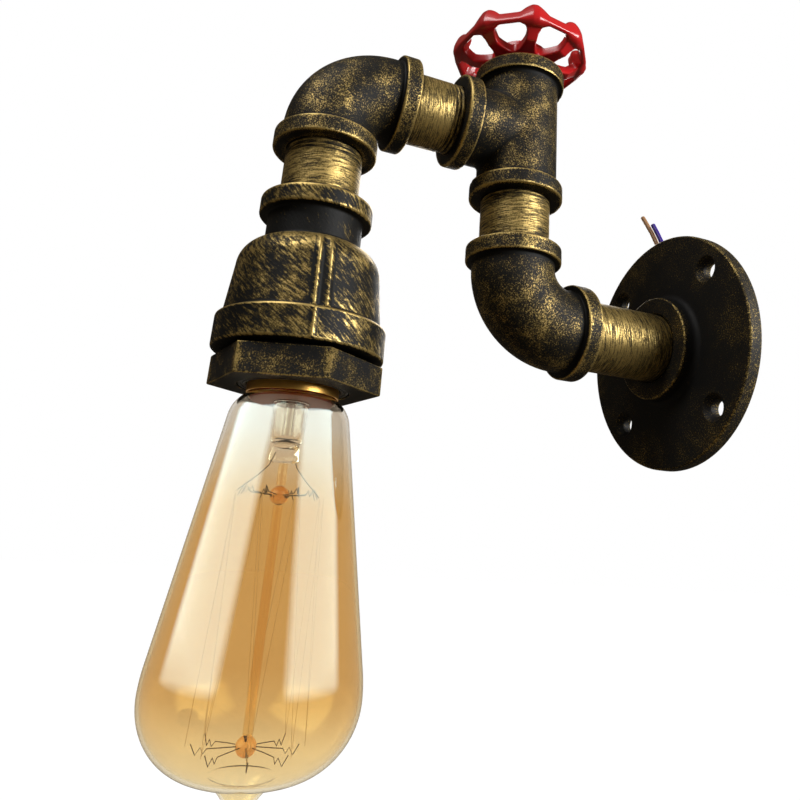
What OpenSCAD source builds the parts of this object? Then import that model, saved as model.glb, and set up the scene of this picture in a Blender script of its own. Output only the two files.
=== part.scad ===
// Pipe wall light: iron pipe fittings carry a lampholder out from a round wall flange,
// and a red handwheel on the tee turns the rotary switch inside it.
// The origin is the centre of the flange's back face. The wall is the plane y = 0,
// the lamp stands out from it along -Y, and +Z is up.

/* [Pipe] */
// Outside diameter of the pipe
pipe_od = 26.9; // [25:0.1:29]
// Wall thickness of the pipe
pipe_wall = 2.6; // [1.8:0.1:4]
// Length of thread that a pipe end has inside a fitting
thread_engage = 11; // [8:0.5:13]
// Radial clearance between a pipe thread and its socket
thread_clear = 0.05; // [0.02:0.01:0.1]

/* [Layout] */
// Distance from the wall to the axis of the riser
wall_reach = 74; // [66:1:110]
// Distance from the axis of the riser to the axis of the drop
arm_reach = 76; // [68:1:120]
// Height of the arm's axis above the flange's axis
arm_height = 77; // [68:1:120]
// Length of pipe that shows between the upper elbow and the reducer
drop_show = 20; // [10:1:40]

/* [Fittings] */
// Distance from the centre of an elbow or tee to its ends
fitting_reach = 28.5; // [27:0.5:32]
// Wall of a fitting outside its thread
fitting_wall = 2.3; // [1.8:0.1:3]
// Width of the bead round each mouth of a fitting
bead_w = 6; // [4:0.5:7]
// Height of that bead above the body
bead_stand = 2.45; // [1:0.05:3.5]
// Edge radius of the beads
bead_edge = 1.2; // [0.4:0.1:1.8]
// Radius of an elbow's bend at its centre line
elbow_bend = 20.5; // [18:0.5:21.5]

/* [Flange] */
// Diameter of the wall flange
flange_d = 94; // [90:1:120]
// Thickness of the flange's plate
flange_t = 5.5; // [4.5:0.5:8]
// Edge radius at the front of the plate
flange_edge = 1; // [0.3:0.1:2]
// Diameter of the flange's hub
hub_d = 41; // [36:0.5:46]
// Height of the hub's face above the wall
hub_h = 11.5; // [10:0.5:14]
// Radius of the fillet between hub and plate
hub_fillet = 2.5; // [1:0.5:3]
// Diameter of the circle through the screw holes
screw_pcd = 75; // [72:1:78]
// Number of screw holes
screw_count = 4; // [3:1:6]
// Diameter of a screw hole
screw_d = 6.4; // [4:0.1:7]
// Diameter of the countersink
screw_head_d = 10.6; // [8:0.1:12]

/* [Reducer] */
// Length of the bell reducer
reducer_len = 53.5; // [50:0.5:62]
// Diameter of the bead round its upper mouth
reducer_bead_d = 38.1; // [36:0.1:42]
// Height of that bead
reducer_bead_h = 6.2; // [5:0.1:9]
// Diameter of its neck
neck_d = 32; // [31:0.1:34]
// Length of its neck
neck_h = 10; // [5:0.2:12]
// Radius of its round shoulder
shoulder_r = 9.5; // [8:0.5:11]
// Diameter of the bell below the shoulder
bell_d = 47.4; // [47:0.1:50]
// Diameter of the bell at its lower band
bell_foot_d = 51; // [49:0.1:53]
// Diameter of the lower band
band_d = 54.8; // [53:0.1:58]
// Height of the lower band
band_h = 10.5; // [8:0.5:13]
// Width of the cast rib down each side
rib_w = 6; // [4:0.1:8]
// Height of that rib above the bell
rib_stand = 0.7; // [0.3:0.1:1.2]

/* [Bush] */
// Diameter of the large thread between reducer and bush
bush_thread_d = 41.8; // [40.5:0.1:43]
// Length of that thread
bush_thread_len = 14.2; // [10:0.1:16]
// Width of the hexagon across its corners
hex_corners = 54.8; // [53:0.1:58]
// Height of the hexagon
hex_h = 9.4; // [7:0.1:12]
// Gap between the reducer and the hexagon
hex_gap = 1.2; // [0.4:0.1:3]
// Turn of the hexagon about the drop's axis
hex_turn = 10; // [0:1:59]

/* [Lampholder] */
// Outside diameter of the insulating body
holder_d = 34.4; // [33:0.1:35.5]
// Clearance round that body in the bush
holder_clear = 0.3; // [0.1:0.05:0.5]
// Wall of the brass screw shell
shell_wall = 0.7; // [0.5:0.1:1]
// Height of the insulating body above the bush's thread
holder_rise = 12; // [9:0.5:14]
// Width of a terminal block
terminal_w = 6; // [4.5:0.5:7]
// Height of a terminal block
terminal_h = 6; // [5:0.5:8]

/* [Bulb] */
// Largest diameter of the glass
bulb_d = 60.8; // [56:0.1:66]
// Length of the straight side of the glass
bulb_side = 70; // [60:1:80]
// Lean of that side from upright
bulb_taper = 9.2; // [8:0.1:10]
// Radius of the round below the cap
bulb_neck_r = 10; // [9:0.5:11]
// Radius between the straight side and the largest diameter
belly_r = 42; // [35:1:50]
// Radius of the lower corner
corner_r = 20; // [16:0.5:23]
// Radius of the bottom dome
dome_r = 56; // [45:1:65]
// Thickness of the glass
glass_wall = 0.9; // [0.6:0.1:1.5]
// Length of the sealed tip
tip_len = 9; // [4:0.5:12]
// Diameter of the cap's thread over its crests
cap_d = 26.4; // [25.5:0.1:26.9]
// Pitch of the cap's thread
cap_pitch = 3.6; // [3:0.1:4]
// Depth of the cap's thread
cap_depth = 1; // [0.6:0.1:1.2]
// Length of the cap from its skirt to its contact
cap_len = 25.4; // [24:0.1:27]
// Diameter of the cap's skirt
skirt_d = 28.8; // [28.4:0.1:29.4]
// Height of the skirt
skirt_h = 3; // [2:0.1:4]
// Length of cap that shows below the hexagon
cap_show = 2; // [1:0.1:4]
// Distance from the skirt to the upper button
upper_button_drop = 30; // [26:1:36]
// Distance from the lower button down to the inside of the dome
lower_button_clear = 7.8; // [6:0.2:20]
// Number of wire supports on each button
support_count = 8; // [5:1:12]
// Reach of the upper supports
upper_support_reach = 13.5; // [9:0.5:15]
// Reach of the lower supports
lower_support_reach = 16; // [10:0.5:18]

/* [Handwheel] */
// Radius to the lower corners of the rim
rim_corner_r = 29.6; // [27:0.2:34]
// Number of knuckles: one at each corner of the rim, where a spoke ends
knuckle_count = 8; // [5:1:10]
// Radius of a knuckle
knuckle_r = 3.5; // [3:0.1:4.5]
// Length of a knuckle from the rim's underside to the middle of its round top
knuckle_h = 7.4; // [6:0.1:9]
// Radius of the pocket in a knuckle's inner side
pocket_r = 2.2; // [1.5:0.1:3]
// Height of the rim between the knuckles
rim_h = 5.6; // [4:0.1:7]
// Thickness of the rim
rim_t = 2.2; // [1.6:0.1:3]
// Lean of the rim and the knuckles towards the axis
rim_lean = 20; // [5:1:25]
// Height of the rim's underside above the hub's
rim_lift = 4.4; // [2:0.2:6]
// Diameter of the wheel's hub
wheel_hub_d = 24; // [18:0.5:26]
// Height of the wheel's hub
wheel_hub_h = 6.5; // [5.5:0.5:9]
// Width of a spoke
spoke_w = 5; // [3:0.5:6]
// Thickness of a spoke
spoke_t = 3.8; // [3:0.1:4.5]
// Length over which a spoke climbs to the rim
spoke_climb = 6; // [4:0.5:8]
// Radius of the corners between the spokes
spoke_corner_r = 2.5; // [2:0.5:3]
// Turn of the wheel about its axis
wheel_turn = 345; // [0:1:359]

/* [Switch] */
// Diameter of the switch's body
switch_d = 19; // [15:0.5:20]
// Height of the switch's body
switch_h = 12; // [9:0.5:14]
// Diameter of its threaded neck
switch_neck_d = 9.6; // [8.6:0.1:12]
// Diameter of its spindle
spindle_d = 6; // [5:0.1:7]
// Radial clearance of the spindle in its neck
spindle_clear = 0.05; // [0.02:0.01:0.1]

/* [Wires] */
// Outside diameter of an insulated wire
wire_d = 2; // [1.6:0.1:2.4]
// Distance of each wire from the middle of the pipe
wire_x = 3; // [2:0.5:4]
// Bend radius of the wires at a corner
wire_bend = 14; // [8:1:16]

/* [Hidden] */
$fn = 96;
// Clearance between pieces that are held together
fit = 0.05;
// Axes and levels of the pipework
riser_y = -wall_reach;
drop_y = riser_y - arm_reach;
tee_top = arm_height + fitting_reach;
pipe_r = pipe_od / 2;
bore_r = pipe_r - pipe_wall;
socket_r = pipe_r + thread_clear;
thread_runout = 0.5;
socket_depth = thread_engage + thread_runout;
body_r = socket_r + fitting_wall;
bead_r = body_r + bead_stand;
// The tee's branch is a little slimmer than its run
branch_step = 0.3;
branch_r = body_r - branch_step;
branch_bore_r = bore_r - branch_step;
// The flange's screw holes stand on its diagonals
screw_turn = 45;
nipple_setback = 1;
// Width and height of the parting line on the reducer's lower band
seam_w = 1.1;
seam_stand = 0.3;
// The reducer's round faces start and end a quarter turn from that line
seam_turn = 90;
// Levels of the lamp head, from the top down
reducer_top = arm_height - fitting_reach - drop_show;
reducer_end = reducer_top - reducer_len;
hex_top = reducer_end - hex_gap;
hex_end = hex_top - hex_h;
bush_top = hex_top + bush_thread_len;
bush_r = bush_thread_d / 2;
bush_bore_r = holder_d / 2 + holder_clear;
// Lampholder
holder_r = holder_d / 2;
holder_recess = 0.4;
holder_end = hex_end + holder_recess;
holder_flange_t = 3;
holder_flange_r = bush_r - 0.6;
holder_top = bush_top + holder_rise;
holder_neck_r = holder_r - 2;
ring_h = 4;
contact_t = 0.5;
contact_w = 5;
contact_rise = 1.6;
terminal_d = 5;
terminal_screw_r = 1.2;
terminal_head_r = 1.9;
terminal_head_h = 1.4;
terminal_x = wire_x + 1;
// Bulb
cap_rim = hex_end - cap_show;
cap_tip = cap_rim + cap_len;
cap_r = cap_d / 2;
cap_wall = 0.5;
cap_thread_start = cap_rim + skirt_h + 1.2;
cap_thread_end = cap_tip - 5;
cap_contact_r = 4.6;
cap_contact_h = 1;
skirt_r = skirt_d / 2;
// Running clearance of the cap in the holder's shell, and the wider one round its skirt
thread_gap = 0.08;
skirt_clear = 0.3;
shell_r = cap_r + thread_gap + shell_wall;
shell_mouth = cap_rim + skirt_h + skirt_clear;
holder_floor = cap_tip + contact_rise;
bulb_r = bulb_d / 2;
glass_neck_r = skirt_r - 1.2;
stem_r = 5.6;
stem_flare_h = 8;
rod_r = 1.4;
button_r = 2.9;
// Flat press at the foot of the stem, and its height above the upper button
press_len = 6;
press_t = 4;
press_gap = 10;
support_r = 0.25;
filament_r = 0.12;
// The filament hangs this far outside the hooks
filament_out = 0.6;
lead_in_turn = 6;
tip_r = 9.5;
glass_collar = cap_rim + skirt_h - 1;
upper_button_z = cap_rim - upper_button_drop;
lower_button_z = bulb_dome_z() - dome_r + glass_wall + lower_button_clear;
// Switch and wheel, from the tee's mouth up
plug_rim_r = body_r;
plug_rim_h = 0.8;
plug_top = tee_top + plug_rim_h;
washer_h = 0.6;
washer_r = 8.5;
locknut_h = 1.9;
locknut_corners = 17;
switch_neck_r = switch_neck_d / 2;
switch_neck_top = plug_top + washer_h + locknut_h;
switch_top = tee_top - thread_engage;
switch_end = switch_top - switch_h;
spindle_r = spindle_d / 2;
wheel_gap = 0.4;
wheel_base = switch_neck_top + wheel_gap;
wheel_screw_r = 1.6;
wheel_screw_head_r = 4.2;
wheel_screw_head_h = 2;
// The spokes' web and the knuckles start this far inside the faces of the hub and the rim
wheel_inset = 0.4;
// The web ends in the middle of the rim's wall, and the gaps between the spokes are cut past it
web_end_r = rim_corner_r * cos(180 / knuckle_count) - rim_t / 2;
gap_over = 0.8;
knuckle_foot_r = 3;
knuckle_ring_r = rim_corner_r - knuckle_foot_r;
// A pocket's middle lies this far above the middle of its knuckle
pocket_rise = 0.8;
// Wire ends: at the riser's joint, the arm's joint and the mouth behind the wall
riser_joint_z = arm_height - fitting_reach + thread_engage;
arm_joint_y = drop_y + fitting_reach - thread_engage;
joint_gap = 0.3;
mouth_y = -4;
switch_wire_bend = 5;
wire_sides = 8;
// Routes of the two leads behind the wall
live_route = [
    [-3, -4, 0], [-3, -1.5, 0], [-3.1, 2, 1.2], [-3.4, 5.2, 3.9], [-4, 7.2, 8], [-5, 8, 13],
    [-7, 8, 20], [-9, 8, 27], [-11, 8, 34], [-13, 8, 41], [-15.2, 8, 48], [-17.8, 8, 55],
    [-21, 8, 61.5], [-24.4, 8, 67.2], [-27.6, 8, 72.4]
];
neutral_route = [
    [3, -4, 0], [3, -1.5, 0], [2.9, 2, 1.2], [2.6, 5.2, 3.9], [2, 7.2, 8], [1, 8, 13],
    [-1.4, 8, 20], [-4, 8, 27], [-6.6, 8, 34], [-9.2, 8, 41], [-11.8, 8, 48], [-14.6, 8, 55],
    [-17.4, 8, 60.6], [-20.3, 8, 65.8]
];

// Finishes
rubbed_bronze = [0.42, 0.34, 0.18];
dark_iron = [0.16, 0.15, 0.13];
red_enamel = [0.72, 0.08, 0.09];
brass = [0.82, 0.62, 0.25];
steel = [0.7, 0.7, 0.7];
black_phenolic = [0.1, 0.1, 0.1];
amber_glass = [0.9, 0.65, 0.3, 0.5];
clear_glass = [0.9, 0.85, 0.75, 0.6];
brown_sleeve = [0.5, 0.32, 0.2];
blue_sleeve = [0.2, 0.13, 0.5];

// Points of an arc in a plane, from angle a0 to angle a1
function arc(centre, r, a0, a1, steps = 8) =
    [for (i = [0 : steps]) let (a = a0 + (a1 - a0) * i / steps) centre + r * [cos(a), sin(a)]];

function unit(v) = v / norm(v);

// Direction of a route at its point i
function heading(route, i) =
    let (last = len(route) - 1, before = max(i - 1, 0), after = min(i + 1, last))
    unit(route[after] - route[before]);

// One ring of a swept tube, square to the route and turned to keep side in its plane
function tube_ring(route, i, r, sides, side) =
    let (t = heading(route, i), a = unit(side - (side * t) * t), b = cross(t, a))
    [for (k = [0 : sides - 1]) route[i] + r * (cos(360 * k / sides) * a + sin(360 * k / sides) * b)];

// A round tube swept along a route, as one closed solid of triangles
module tube(route, r, sides, side) {
    rings = len(route);
    points = [for (i = [0 : rings - 1]) each tube_ring(route, i, r, sides, side)];
    walls = [
        for (i = [0 : rings - 2], k = [0 : sides - 1])
            let (a = i * sides + k, b = i * sides + (k + 1) % sides)
            each [[a, a + sides, b], [b, a + sides, b + sides]]
    ];
    start = [for (k = [1 : sides - 2]) [0, k, k + 1]];
    first = (rings - 1) * sides;
    end = [for (k = [1 : sides - 2]) [first, first + k + 1, first + k]];
    polyhedron(points, concat(start, walls, end));
}

// Places what is drawn along +Z so that it runs along another axis
module along_minus_y() {
    rotate([90, 0, 0]) children();
}

module along_minus_z() {
    rotate([180, 0, 0]) children();
}

// Half section of a band with round outer edges, from radius r0 to r1
module band_section(r0, r1, h, edge) {
    translate([r0, 0])
        square([r1 - r0 - edge, h]);
    translate([r0, edge])
        square([r1 - r0, h - 2 * edge]);
    for (level = [edge, h - edge])
        translate([r1 - edge, level])
            circle(edge);
}

// Bead round the mouth of a fitting whose axis is +Z and whose centre is the origin
module mouth_bead(inner_r) {
    translate([0, 0, fitting_reach - bead_w])
        rotate_extrude()
            band_section(inner_r, bead_r, bead_w, bead_edge);
}

// One leg of a fitting, from a distance along +Z to its mouth
module leg(start, r) {
    translate([0, 0, start])
        cylinder(r = r, h = fitting_reach - start);
    mouth_bead(socket_r);
}

// Threaded socket at the mouth of a leg, cut through past the mouth
module socket() {
    translate([0, 0, fitting_reach - socket_depth])
        cylinder(r = socket_r, h = socket_depth + 1);
}

// Ninety degree elbow: one leg along +Z and one along -Y from its centre
module elbow() {
    difference() {
        union() {
            leg(elbow_bend, body_r);
            along_minus_y() leg(elbow_bend, body_r);
            elbow_turn(body_r);
        }
        elbow_turn(bore_r);
        elbow_bore();
        along_minus_y() elbow_bore();
    }
}

// Quarter ring between the two legs of an elbow
module elbow_turn(r) {
    translate([0, -elbow_bend, elbow_bend])
        rotate([0, 90, 0])
            rotate_extrude(angle = 90)
                translate([elbow_bend, 0])
                    circle(r);
}

module elbow_bore() {
    translate([0, 0, elbow_bend])
        cylinder(r = bore_r, h = fitting_reach - elbow_bend);
    socket();
}

// Straight pipe along +Z
module nipple(length) {
    difference() {
        cylinder(r = pipe_r, h = length);
        translate([0, 0, -1])
            cylinder(r = bore_r, h = length + 2);
    }
}

module wall_flange() {
    color(dark_iron) along_minus_y() difference() {
        rotate_extrude() flange_section();
        for (i = [0 : screw_count - 1])
            rotate(screw_turn + 360 * i / screw_count)
                translate([screw_pcd / 2, 0, 0])
                    screw_hole();
    }
}

// Half section of the flange: plate, hub and the fillet between them
module flange_section() {
    hub_r = hub_d / 2;
    flange_r = flange_d / 2;
    foot = flange_t + hub_fillet;
    difference() {
        union() {
            translate([socket_r, 0])
                square([flange_r - socket_r, flange_t - flange_edge]);
            translate([socket_r, 0])
                square([flange_r - socket_r - flange_edge, flange_t]);
            translate([flange_r - flange_edge, flange_t - flange_edge])
                circle(flange_edge);
            translate([socket_r, 0])
                band_section(0, hub_r - socket_r, hub_h, bead_edge);
            translate([socket_r, 0])
                square([hub_r + hub_fillet - socket_r, foot]);
        }
        translate([hub_r + hub_fillet, foot])
            circle(hub_fillet);
    }
}

// Countersunk hole through the plate, from the wall towards the room
module screw_hole() {
    sink = (screw_head_d - screw_d) / 2;
    translate([0, 0, -1])
        cylinder(d = screw_d, h = flange_t + 2);
    translate([0, 0, flange_t - sink])
        cylinder(d1 = screw_d, d2 = screw_head_d, h = sink);
    translate([0, 0, flange_t])
        cylinder(d = screw_head_d, h = hub_fillet);
}

module wall_nipple() {
    start = hub_h - thread_engage + nipple_setback;
    end = wall_reach - fitting_reach + thread_engage;
    color(rubbed_bronze) along_minus_y()
        translate([0, 0, start])
            nipple(end - start);
}

module lower_elbow() {
    color(rubbed_bronze)
        translate([0, riser_y, 0])
            rotate(180)
                elbow();
}

module riser_nipple() {
    start = fitting_reach - thread_engage;
    end = arm_height - fitting_reach + thread_engage;
    color(rubbed_bronze)
        translate([0, riser_y, start])
            nipple(end - start);
}

module tee() {
    color(rubbed_bronze) translate([0, riser_y, arm_height]) difference() {
        union() {
            leg(0, body_r);
            along_minus_z() leg(0, body_r);
            along_minus_y() leg(0, branch_r);
        }
        translate([0, 0, -fitting_reach])
            cylinder(r = bore_r, h = 2 * fitting_reach);
        along_minus_y() cylinder(r = branch_bore_r, h = fitting_reach);
        socket();
        along_minus_z() socket();
        along_minus_y() socket();
    }
}

module arm_nipple() {
    start = wall_reach + fitting_reach - thread_engage;
    end = wall_reach + arm_reach - fitting_reach + thread_engage;
    color(rubbed_bronze)
        translate([0, 0, arm_height]) along_minus_y()
            translate([0, 0, start])
                nipple(end - start);
}

module upper_elbow() {
    color(rubbed_bronze)
        translate([0, drop_y, arm_height])
            rotate([180, 0, 0])
                elbow();
}

module drop_nipple() {
    start = reducer_top - thread_engage;
    end = arm_height - fitting_reach + thread_engage;
    color(rubbed_bronze)
        translate([0, drop_y, start])
            nipple(end - start);
}

// Outline of the bell from its neck down to its band, raised by an amount
function bell_outline(rise) =
    let (
        centre = [bell_d / 2 - shoulder_r, reducer_top - reducer_bead_h - neck_h - shoulder_r],
        start = acos((neck_d / 2 - centre[0]) / (shoulder_r + rise))
    )
    concat(
        arc(centre, shoulder_r + rise, start, 0),
        [[bell_foot_d / 2 + rise, reducer_end + band_h]]
    );

module bell_reducer() {
    socket_end = reducer_top - socket_depth;
    hollow_r = bush_r + fit;
    hollow_top = bush_top + holder_flange_t + ring_h + 2;
    outline = bell_outline(0);
    cone_top = reducer_top - reducer_bead_h - neck_h - shoulder_r / 2;
    color(rubbed_bronze) translate([0, drop_y, 0]) difference() {
        union() {
            translate([0, 0, reducer_top - reducer_bead_h])
                rotate(seam_turn)
                    rotate_extrude() band_section(bore_r, reducer_bead_d / 2, reducer_bead_h, bead_edge);
            translate([0, 0, cone_top])
                cylinder(r = neck_d / 2, h = reducer_top - cone_top - bead_edge);
            rotate(seam_turn)
                rotate_extrude()
                    polygon(concat([[0, reducer_end + band_h], [0, outline[0][1]]], outline));
            translate([0, 0, reducer_end])
                rotate(seam_turn)
                    rotate_extrude() band_section(bore_r, band_d / 2, band_h, bead_edge);
            for (turn = [0, 180])
                rotate(turn) {
                    bell_rib();
                    parting_line();
                }
        }
        translate([0, 0, reducer_end - 1])
            cylinder(r = hollow_r, h = hollow_top - reducer_end + 1);
        translate([0, 0, hollow_top])
            cylinder(r1 = hollow_r, r2 = bore_r, h = cone_top - hollow_top);
        translate([0, 0, cone_top])
            cylinder(r = bore_r, h = reducer_top - cone_top);
        translate([0, 0, socket_end])
            cylinder(r = socket_r, h = reducer_top - socket_end + 1);
    }
}

// Cast rib down one side of the bell, with a groove along its middle
module bell_rib() {
    turn = rib_w / bell_foot_d * 360 / PI;
    groove = turn / 3;
    root = neck_d / 2 - 2;
    root_top = bell_outline(0)[0][1] - 1;
    for (side = [0, 1])
        rotate(-turn / 2 + side * (turn + groove) / 2)
            rotate_extrude(angle = (turn - groove) / 2)
                polygon(concat([[root, reducer_end + band_h], [root, root_top]], bell_outline(rib_stand)));
}

// Raised line down the lower band, where the two halves of the mould met
module parting_line() {
    turn = seam_w / band_d * 360 / PI;
    translate([0, 0, reducer_end + bead_edge + seam_stand])
        rotate(-turn / 2)
            rotate_extrude(angle = turn)
                translate([band_d / 2 - 1, 0])
                    square([1 + seam_stand, band_h - 2 * bead_edge - 2 * seam_stand]);
}

module hex_bush() {
    color(dark_iron) translate([0, drop_y, 0]) difference() {
        union() {
            translate([0, 0, hex_end])
                rotate(hex_turn)
                    cylinder(d = hex_corners, h = hex_h, $fn = 6);
            translate([0, 0, hex_end])
                cylinder(r = bush_r, h = bush_top - hex_end);
        }
        translate([0, 0, hex_end - 1])
            cylinder(r = bush_bore_r, h = hex_h + bush_thread_len + 2);
    }
}

module tee_plug() {
    color(dark_iron) translate([0, riser_y, 0]) difference() {
        union() {
            translate([0, 0, switch_top])
                cylinder(r = pipe_r, h = tee_top - switch_top);
            translate([0, 0, tee_top])
                cylinder(r = plug_rim_r, h = plug_rim_h);
        }
        translate([0, 0, switch_top - 1])
            cylinder(r = switch_neck_r + fit, h = plug_top - switch_top + 2);
    }
}

module switch_body() {
    color(black_phenolic) translate([0, riser_y, 0]) difference() {
        union() {
            translate([0, 0, switch_end])
                cylinder(d = switch_d, h = switch_h);
            translate([0, 0, switch_top])
                cylinder(r = switch_neck_r, h = switch_neck_top - switch_top);
        }
        translate([0, 0, switch_top - switch_h / 2])
            cylinder(r = spindle_r + spindle_clear, h = switch_neck_top - switch_top + switch_h);
    }
}

module switch_washer() {
    color(steel) translate([0, riser_y, plug_top]) difference() {
        cylinder(r = washer_r, h = washer_h);
        translate([0, 0, -1])
            cylinder(r = switch_neck_r + fit, h = washer_h + 2);
    }
}

module switch_locknut() {
    color(steel) translate([0, riser_y, plug_top + washer_h]) difference() {
        cylinder(d = locknut_corners, h = locknut_h, $fn = 6);
        translate([0, 0, -1])
            cylinder(r = switch_neck_r + fit, h = locknut_h + 2);
    }
}

module switch_spindle() {
    start = switch_top - switch_h / 2 + wheel_gap;
    color(steel) translate([0, riser_y, 0]) difference() {
        translate([0, 0, start])
            cylinder(r = spindle_r, h = wheel_base + wheel_hub_h - start);
        translate([0, 0, wheel_base])
            cylinder(r = wheel_screw_r + fit, h = wheel_hub_h + 1);
    }
}

module handwheel() {
    color(red_enamel) translate([0, riser_y, wheel_base]) rotate(wheel_turn) difference() {
        union() {
            cylinder(d = wheel_hub_d, h = wheel_hub_h);
            spokes();
            translate([0, 0, rim_lift])
                rotate_extrude($fn = knuckle_count) rim_section();
            for (i = [0 : knuckle_count - 1])
                knuckle_place(i)
                    rotate_extrude() knuckle_section();
        }
        translate([0, 0, -1])
            cylinder(r = spindle_r + fit, h = wheel_hub_h + 2);
        for (i = [0 : knuckle_count - 1])
            knuckle_place(i)
                translate([-pocket_r, 0, knuckle_h + pocket_rise])
                    sphere(pocket_r);
    }
}

// Stands a knuckle on its corner of the rim, leaning towards the axis
module knuckle_place(i) {
    rotate(360 * i / knuckle_count)
        translate([knuckle_ring_r, 0, rim_lift])
            rotate([0, -rim_lean, 0])
                children();
}

// Web that climbs from the hub to the rim, less the gaps between the spokes
module spokes() {
    difference() {
        rotate_extrude() web_section();
        for (i = [0 : knuckle_count - 1])
            rotate(360 * (i + 0.5) / knuckle_count)
                translate([0, 0, -1])
                    linear_extrude(wheel_hub_h + rim_lift + spoke_t + 2)
                        polygon(rounded(spoke_gap(180 / knuckle_count), spoke_corner_r));
    }
}

// Half section of that web
module web_section() {
    root = wheel_hub_d / 2 - 2;
    level = web_end_r - spoke_climb;
    top = wheel_inset + spoke_t;
    polygon([
        [root, wheel_inset], [level, wheel_inset], [web_end_r, rim_lift + wheel_inset],
        [web_end_r - spoke_t * tan(rim_lean), rim_lift + top], [level - 1, top], [root, top]
    ]);
}

// Half section of the rim through a corner: a wall that leans towards the axis
module rim_section() {
    wall = rim_t / cos(180 / knuckle_count);
    back = rim_h * tan(rim_lean);
    polygon([
        [rim_corner_r - wall, 0], [rim_corner_r, 0], [rim_corner_r - back, rim_h],
        [rim_corner_r - back - wall, rim_h]
    ]);
}

// Half section of a knuckle: a post that swells from its foot and has a round top
module knuckle_section() {
    foot = wheel_inset + knuckle_foot_r * sin(rim_lean);
    polygon(concat(
        [[0, foot], [knuckle_foot_r, foot], [knuckle_r, knuckle_h - 1]],
        arc([0, knuckle_h], knuckle_r, 0, 80),
        [[0, knuckle_h + knuckle_r]]
    ));
}

// Corner centres of the gap between two spokes, seen along the middle of the gap, half a gap each side
function spoke_gap(half) =
    let (
        clear = spoke_w / 2 + spoke_corner_r,
        inner = max(wheel_hub_d / 2 + spoke_corner_r, (clear + fit) / sin(half)),
        outer = web_end_r + gap_over - spoke_corner_r,
        inner_turn = half - asin(clear / inner),
        outer_turn = half - asin(clear / outer)
    )
    [
        polar(inner, -inner_turn), polar(outer, -outer_turn), polar(outer, 0),
        polar(outer, outer_turn), polar(inner, inner_turn)
    ];

function polar(r, a) = r * [cos(a), sin(a)];

// Outline at distance r round a polygon whose points run anticlockwise
function rounded(points, r) =
    let (count = len(points))
    [for (i = [0 : count - 1])
        let (
            before = bearing(points[i] - points[(i + count - 1) % count]),
            after = bearing(points[(i + 1) % count] - points[i]),
            turn = (after - before + 360) % 360
        )
        each arc(points[i], r, before - 90, before - 90 + turn, 5)];

function bearing(v) = atan2(v[1], v[0]);

module wheel_screw() {
    color(steel) translate([0, riser_y, wheel_base + wheel_hub_h + fit]) {
        cylinder(r = wheel_screw_head_r, h = wheel_screw_head_h);
        translate([0, 0, 1 - wheel_hub_h])
            cylinder(r = wheel_screw_r, h = wheel_hub_h);
    }
}

module lampholder_body() {
    color(black_phenolic) translate([0, drop_y, 0]) difference() {
        union() {
            translate([0, 0, holder_end])
                cylinder(r = holder_r, h = bush_top - holder_end);
            translate([0, 0, bush_top])
                cylinder(r = holder_flange_r, h = holder_flange_t);
            translate([0, 0, bush_top])
                cylinder(r = holder_neck_r, h = holder_rise);
        }
        translate([0, 0, holder_end])
            cylinder(r = shell_r + fit, h = holder_floor - holder_end);
        translate([0, 0, holder_end - 1])
            cylinder(r = skirt_r + skirt_clear, h = shell_mouth - holder_end + 1);
    }
}

module lampholder_ring() {
    color(steel) translate([0, drop_y, bush_top + holder_flange_t]) difference() {
        cylinder(r = bush_r, h = ring_h);
        translate([0, 0, -1])
            cylinder(r = holder_neck_r + holder_clear, h = ring_h + 2);
    }
}

// Wavy side of a round thread, offset outwards from the cap's own crests and roots
function thread_side(out) =
    let (turns = floor((cap_thread_end - cap_thread_start) / cap_pitch), steps = 8 * turns)
    [for (i = [0 : steps]) [
        cap_r - cap_depth / 2 - cap_depth / 2 * cos(360 * i / 8) + out,
        cap_thread_start + cap_pitch * i / 8
    ]];

module screw_shell() {
    side = thread_side(thread_gap);
    last = side[len(side) - 1];
    top = holder_floor - contact_rise / 2;
    color(brass) translate([0, drop_y, 0]) rotate_extrude()
        polygon(concat(
            [[shell_r, shell_mouth], [shell_r - shell_wall / 4, shell_mouth]],
            side,
            [[last[0], top], [shell_r, top]]
        ));
}

module centre_contact() {
    length = shell_r - 3;
    rise = contact_rise - contact_t - fit;
    color(brass) translate([0, drop_y, holder_floor])
        rotate([90, 0, 0])
            linear_extrude(contact_w, center = true)
                polygon([
                    [-length, 0], [-length, -contact_t], [-length / 2, -contact_t], [-2, -contact_t - rise],
                    [2, -contact_t - rise], [2, -rise], [-1.6, -rise], [-length / 2 + 0.4, 0]
                ]);
}

module terminals() {
    color(brass) translate([0, drop_y, holder_top])
        for (side = [-1, 1]) difference() {
            translate([side * terminal_x - terminal_w / 2, -terminal_d / 2, 0])
                cube([terminal_w, terminal_d, terminal_h]);
            translate([side * (terminal_x + terminal_w / 2 + 1), 0, terminal_h / 2])
                rotate([0, -90 * side, 0])
                    cylinder(r = terminal_screw_r + fit, h = terminal_w / 2 + 1);
        }
}

module terminal_screws() {
    color(steel) translate([0, drop_y, holder_top + terminal_h / 2])
        for (side = [-1, 1])
            translate([side * (terminal_x + terminal_w / 2), 0, 0]) {
                rotate([0, 90 * side, 0])
                    cylinder(r = terminal_head_r, h = terminal_head_h);
                rotate([0, -90 * side, 0])
                    cylinder(r = terminal_screw_r, h = terminal_w / 2 - 0.4);
            }
}

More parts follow.
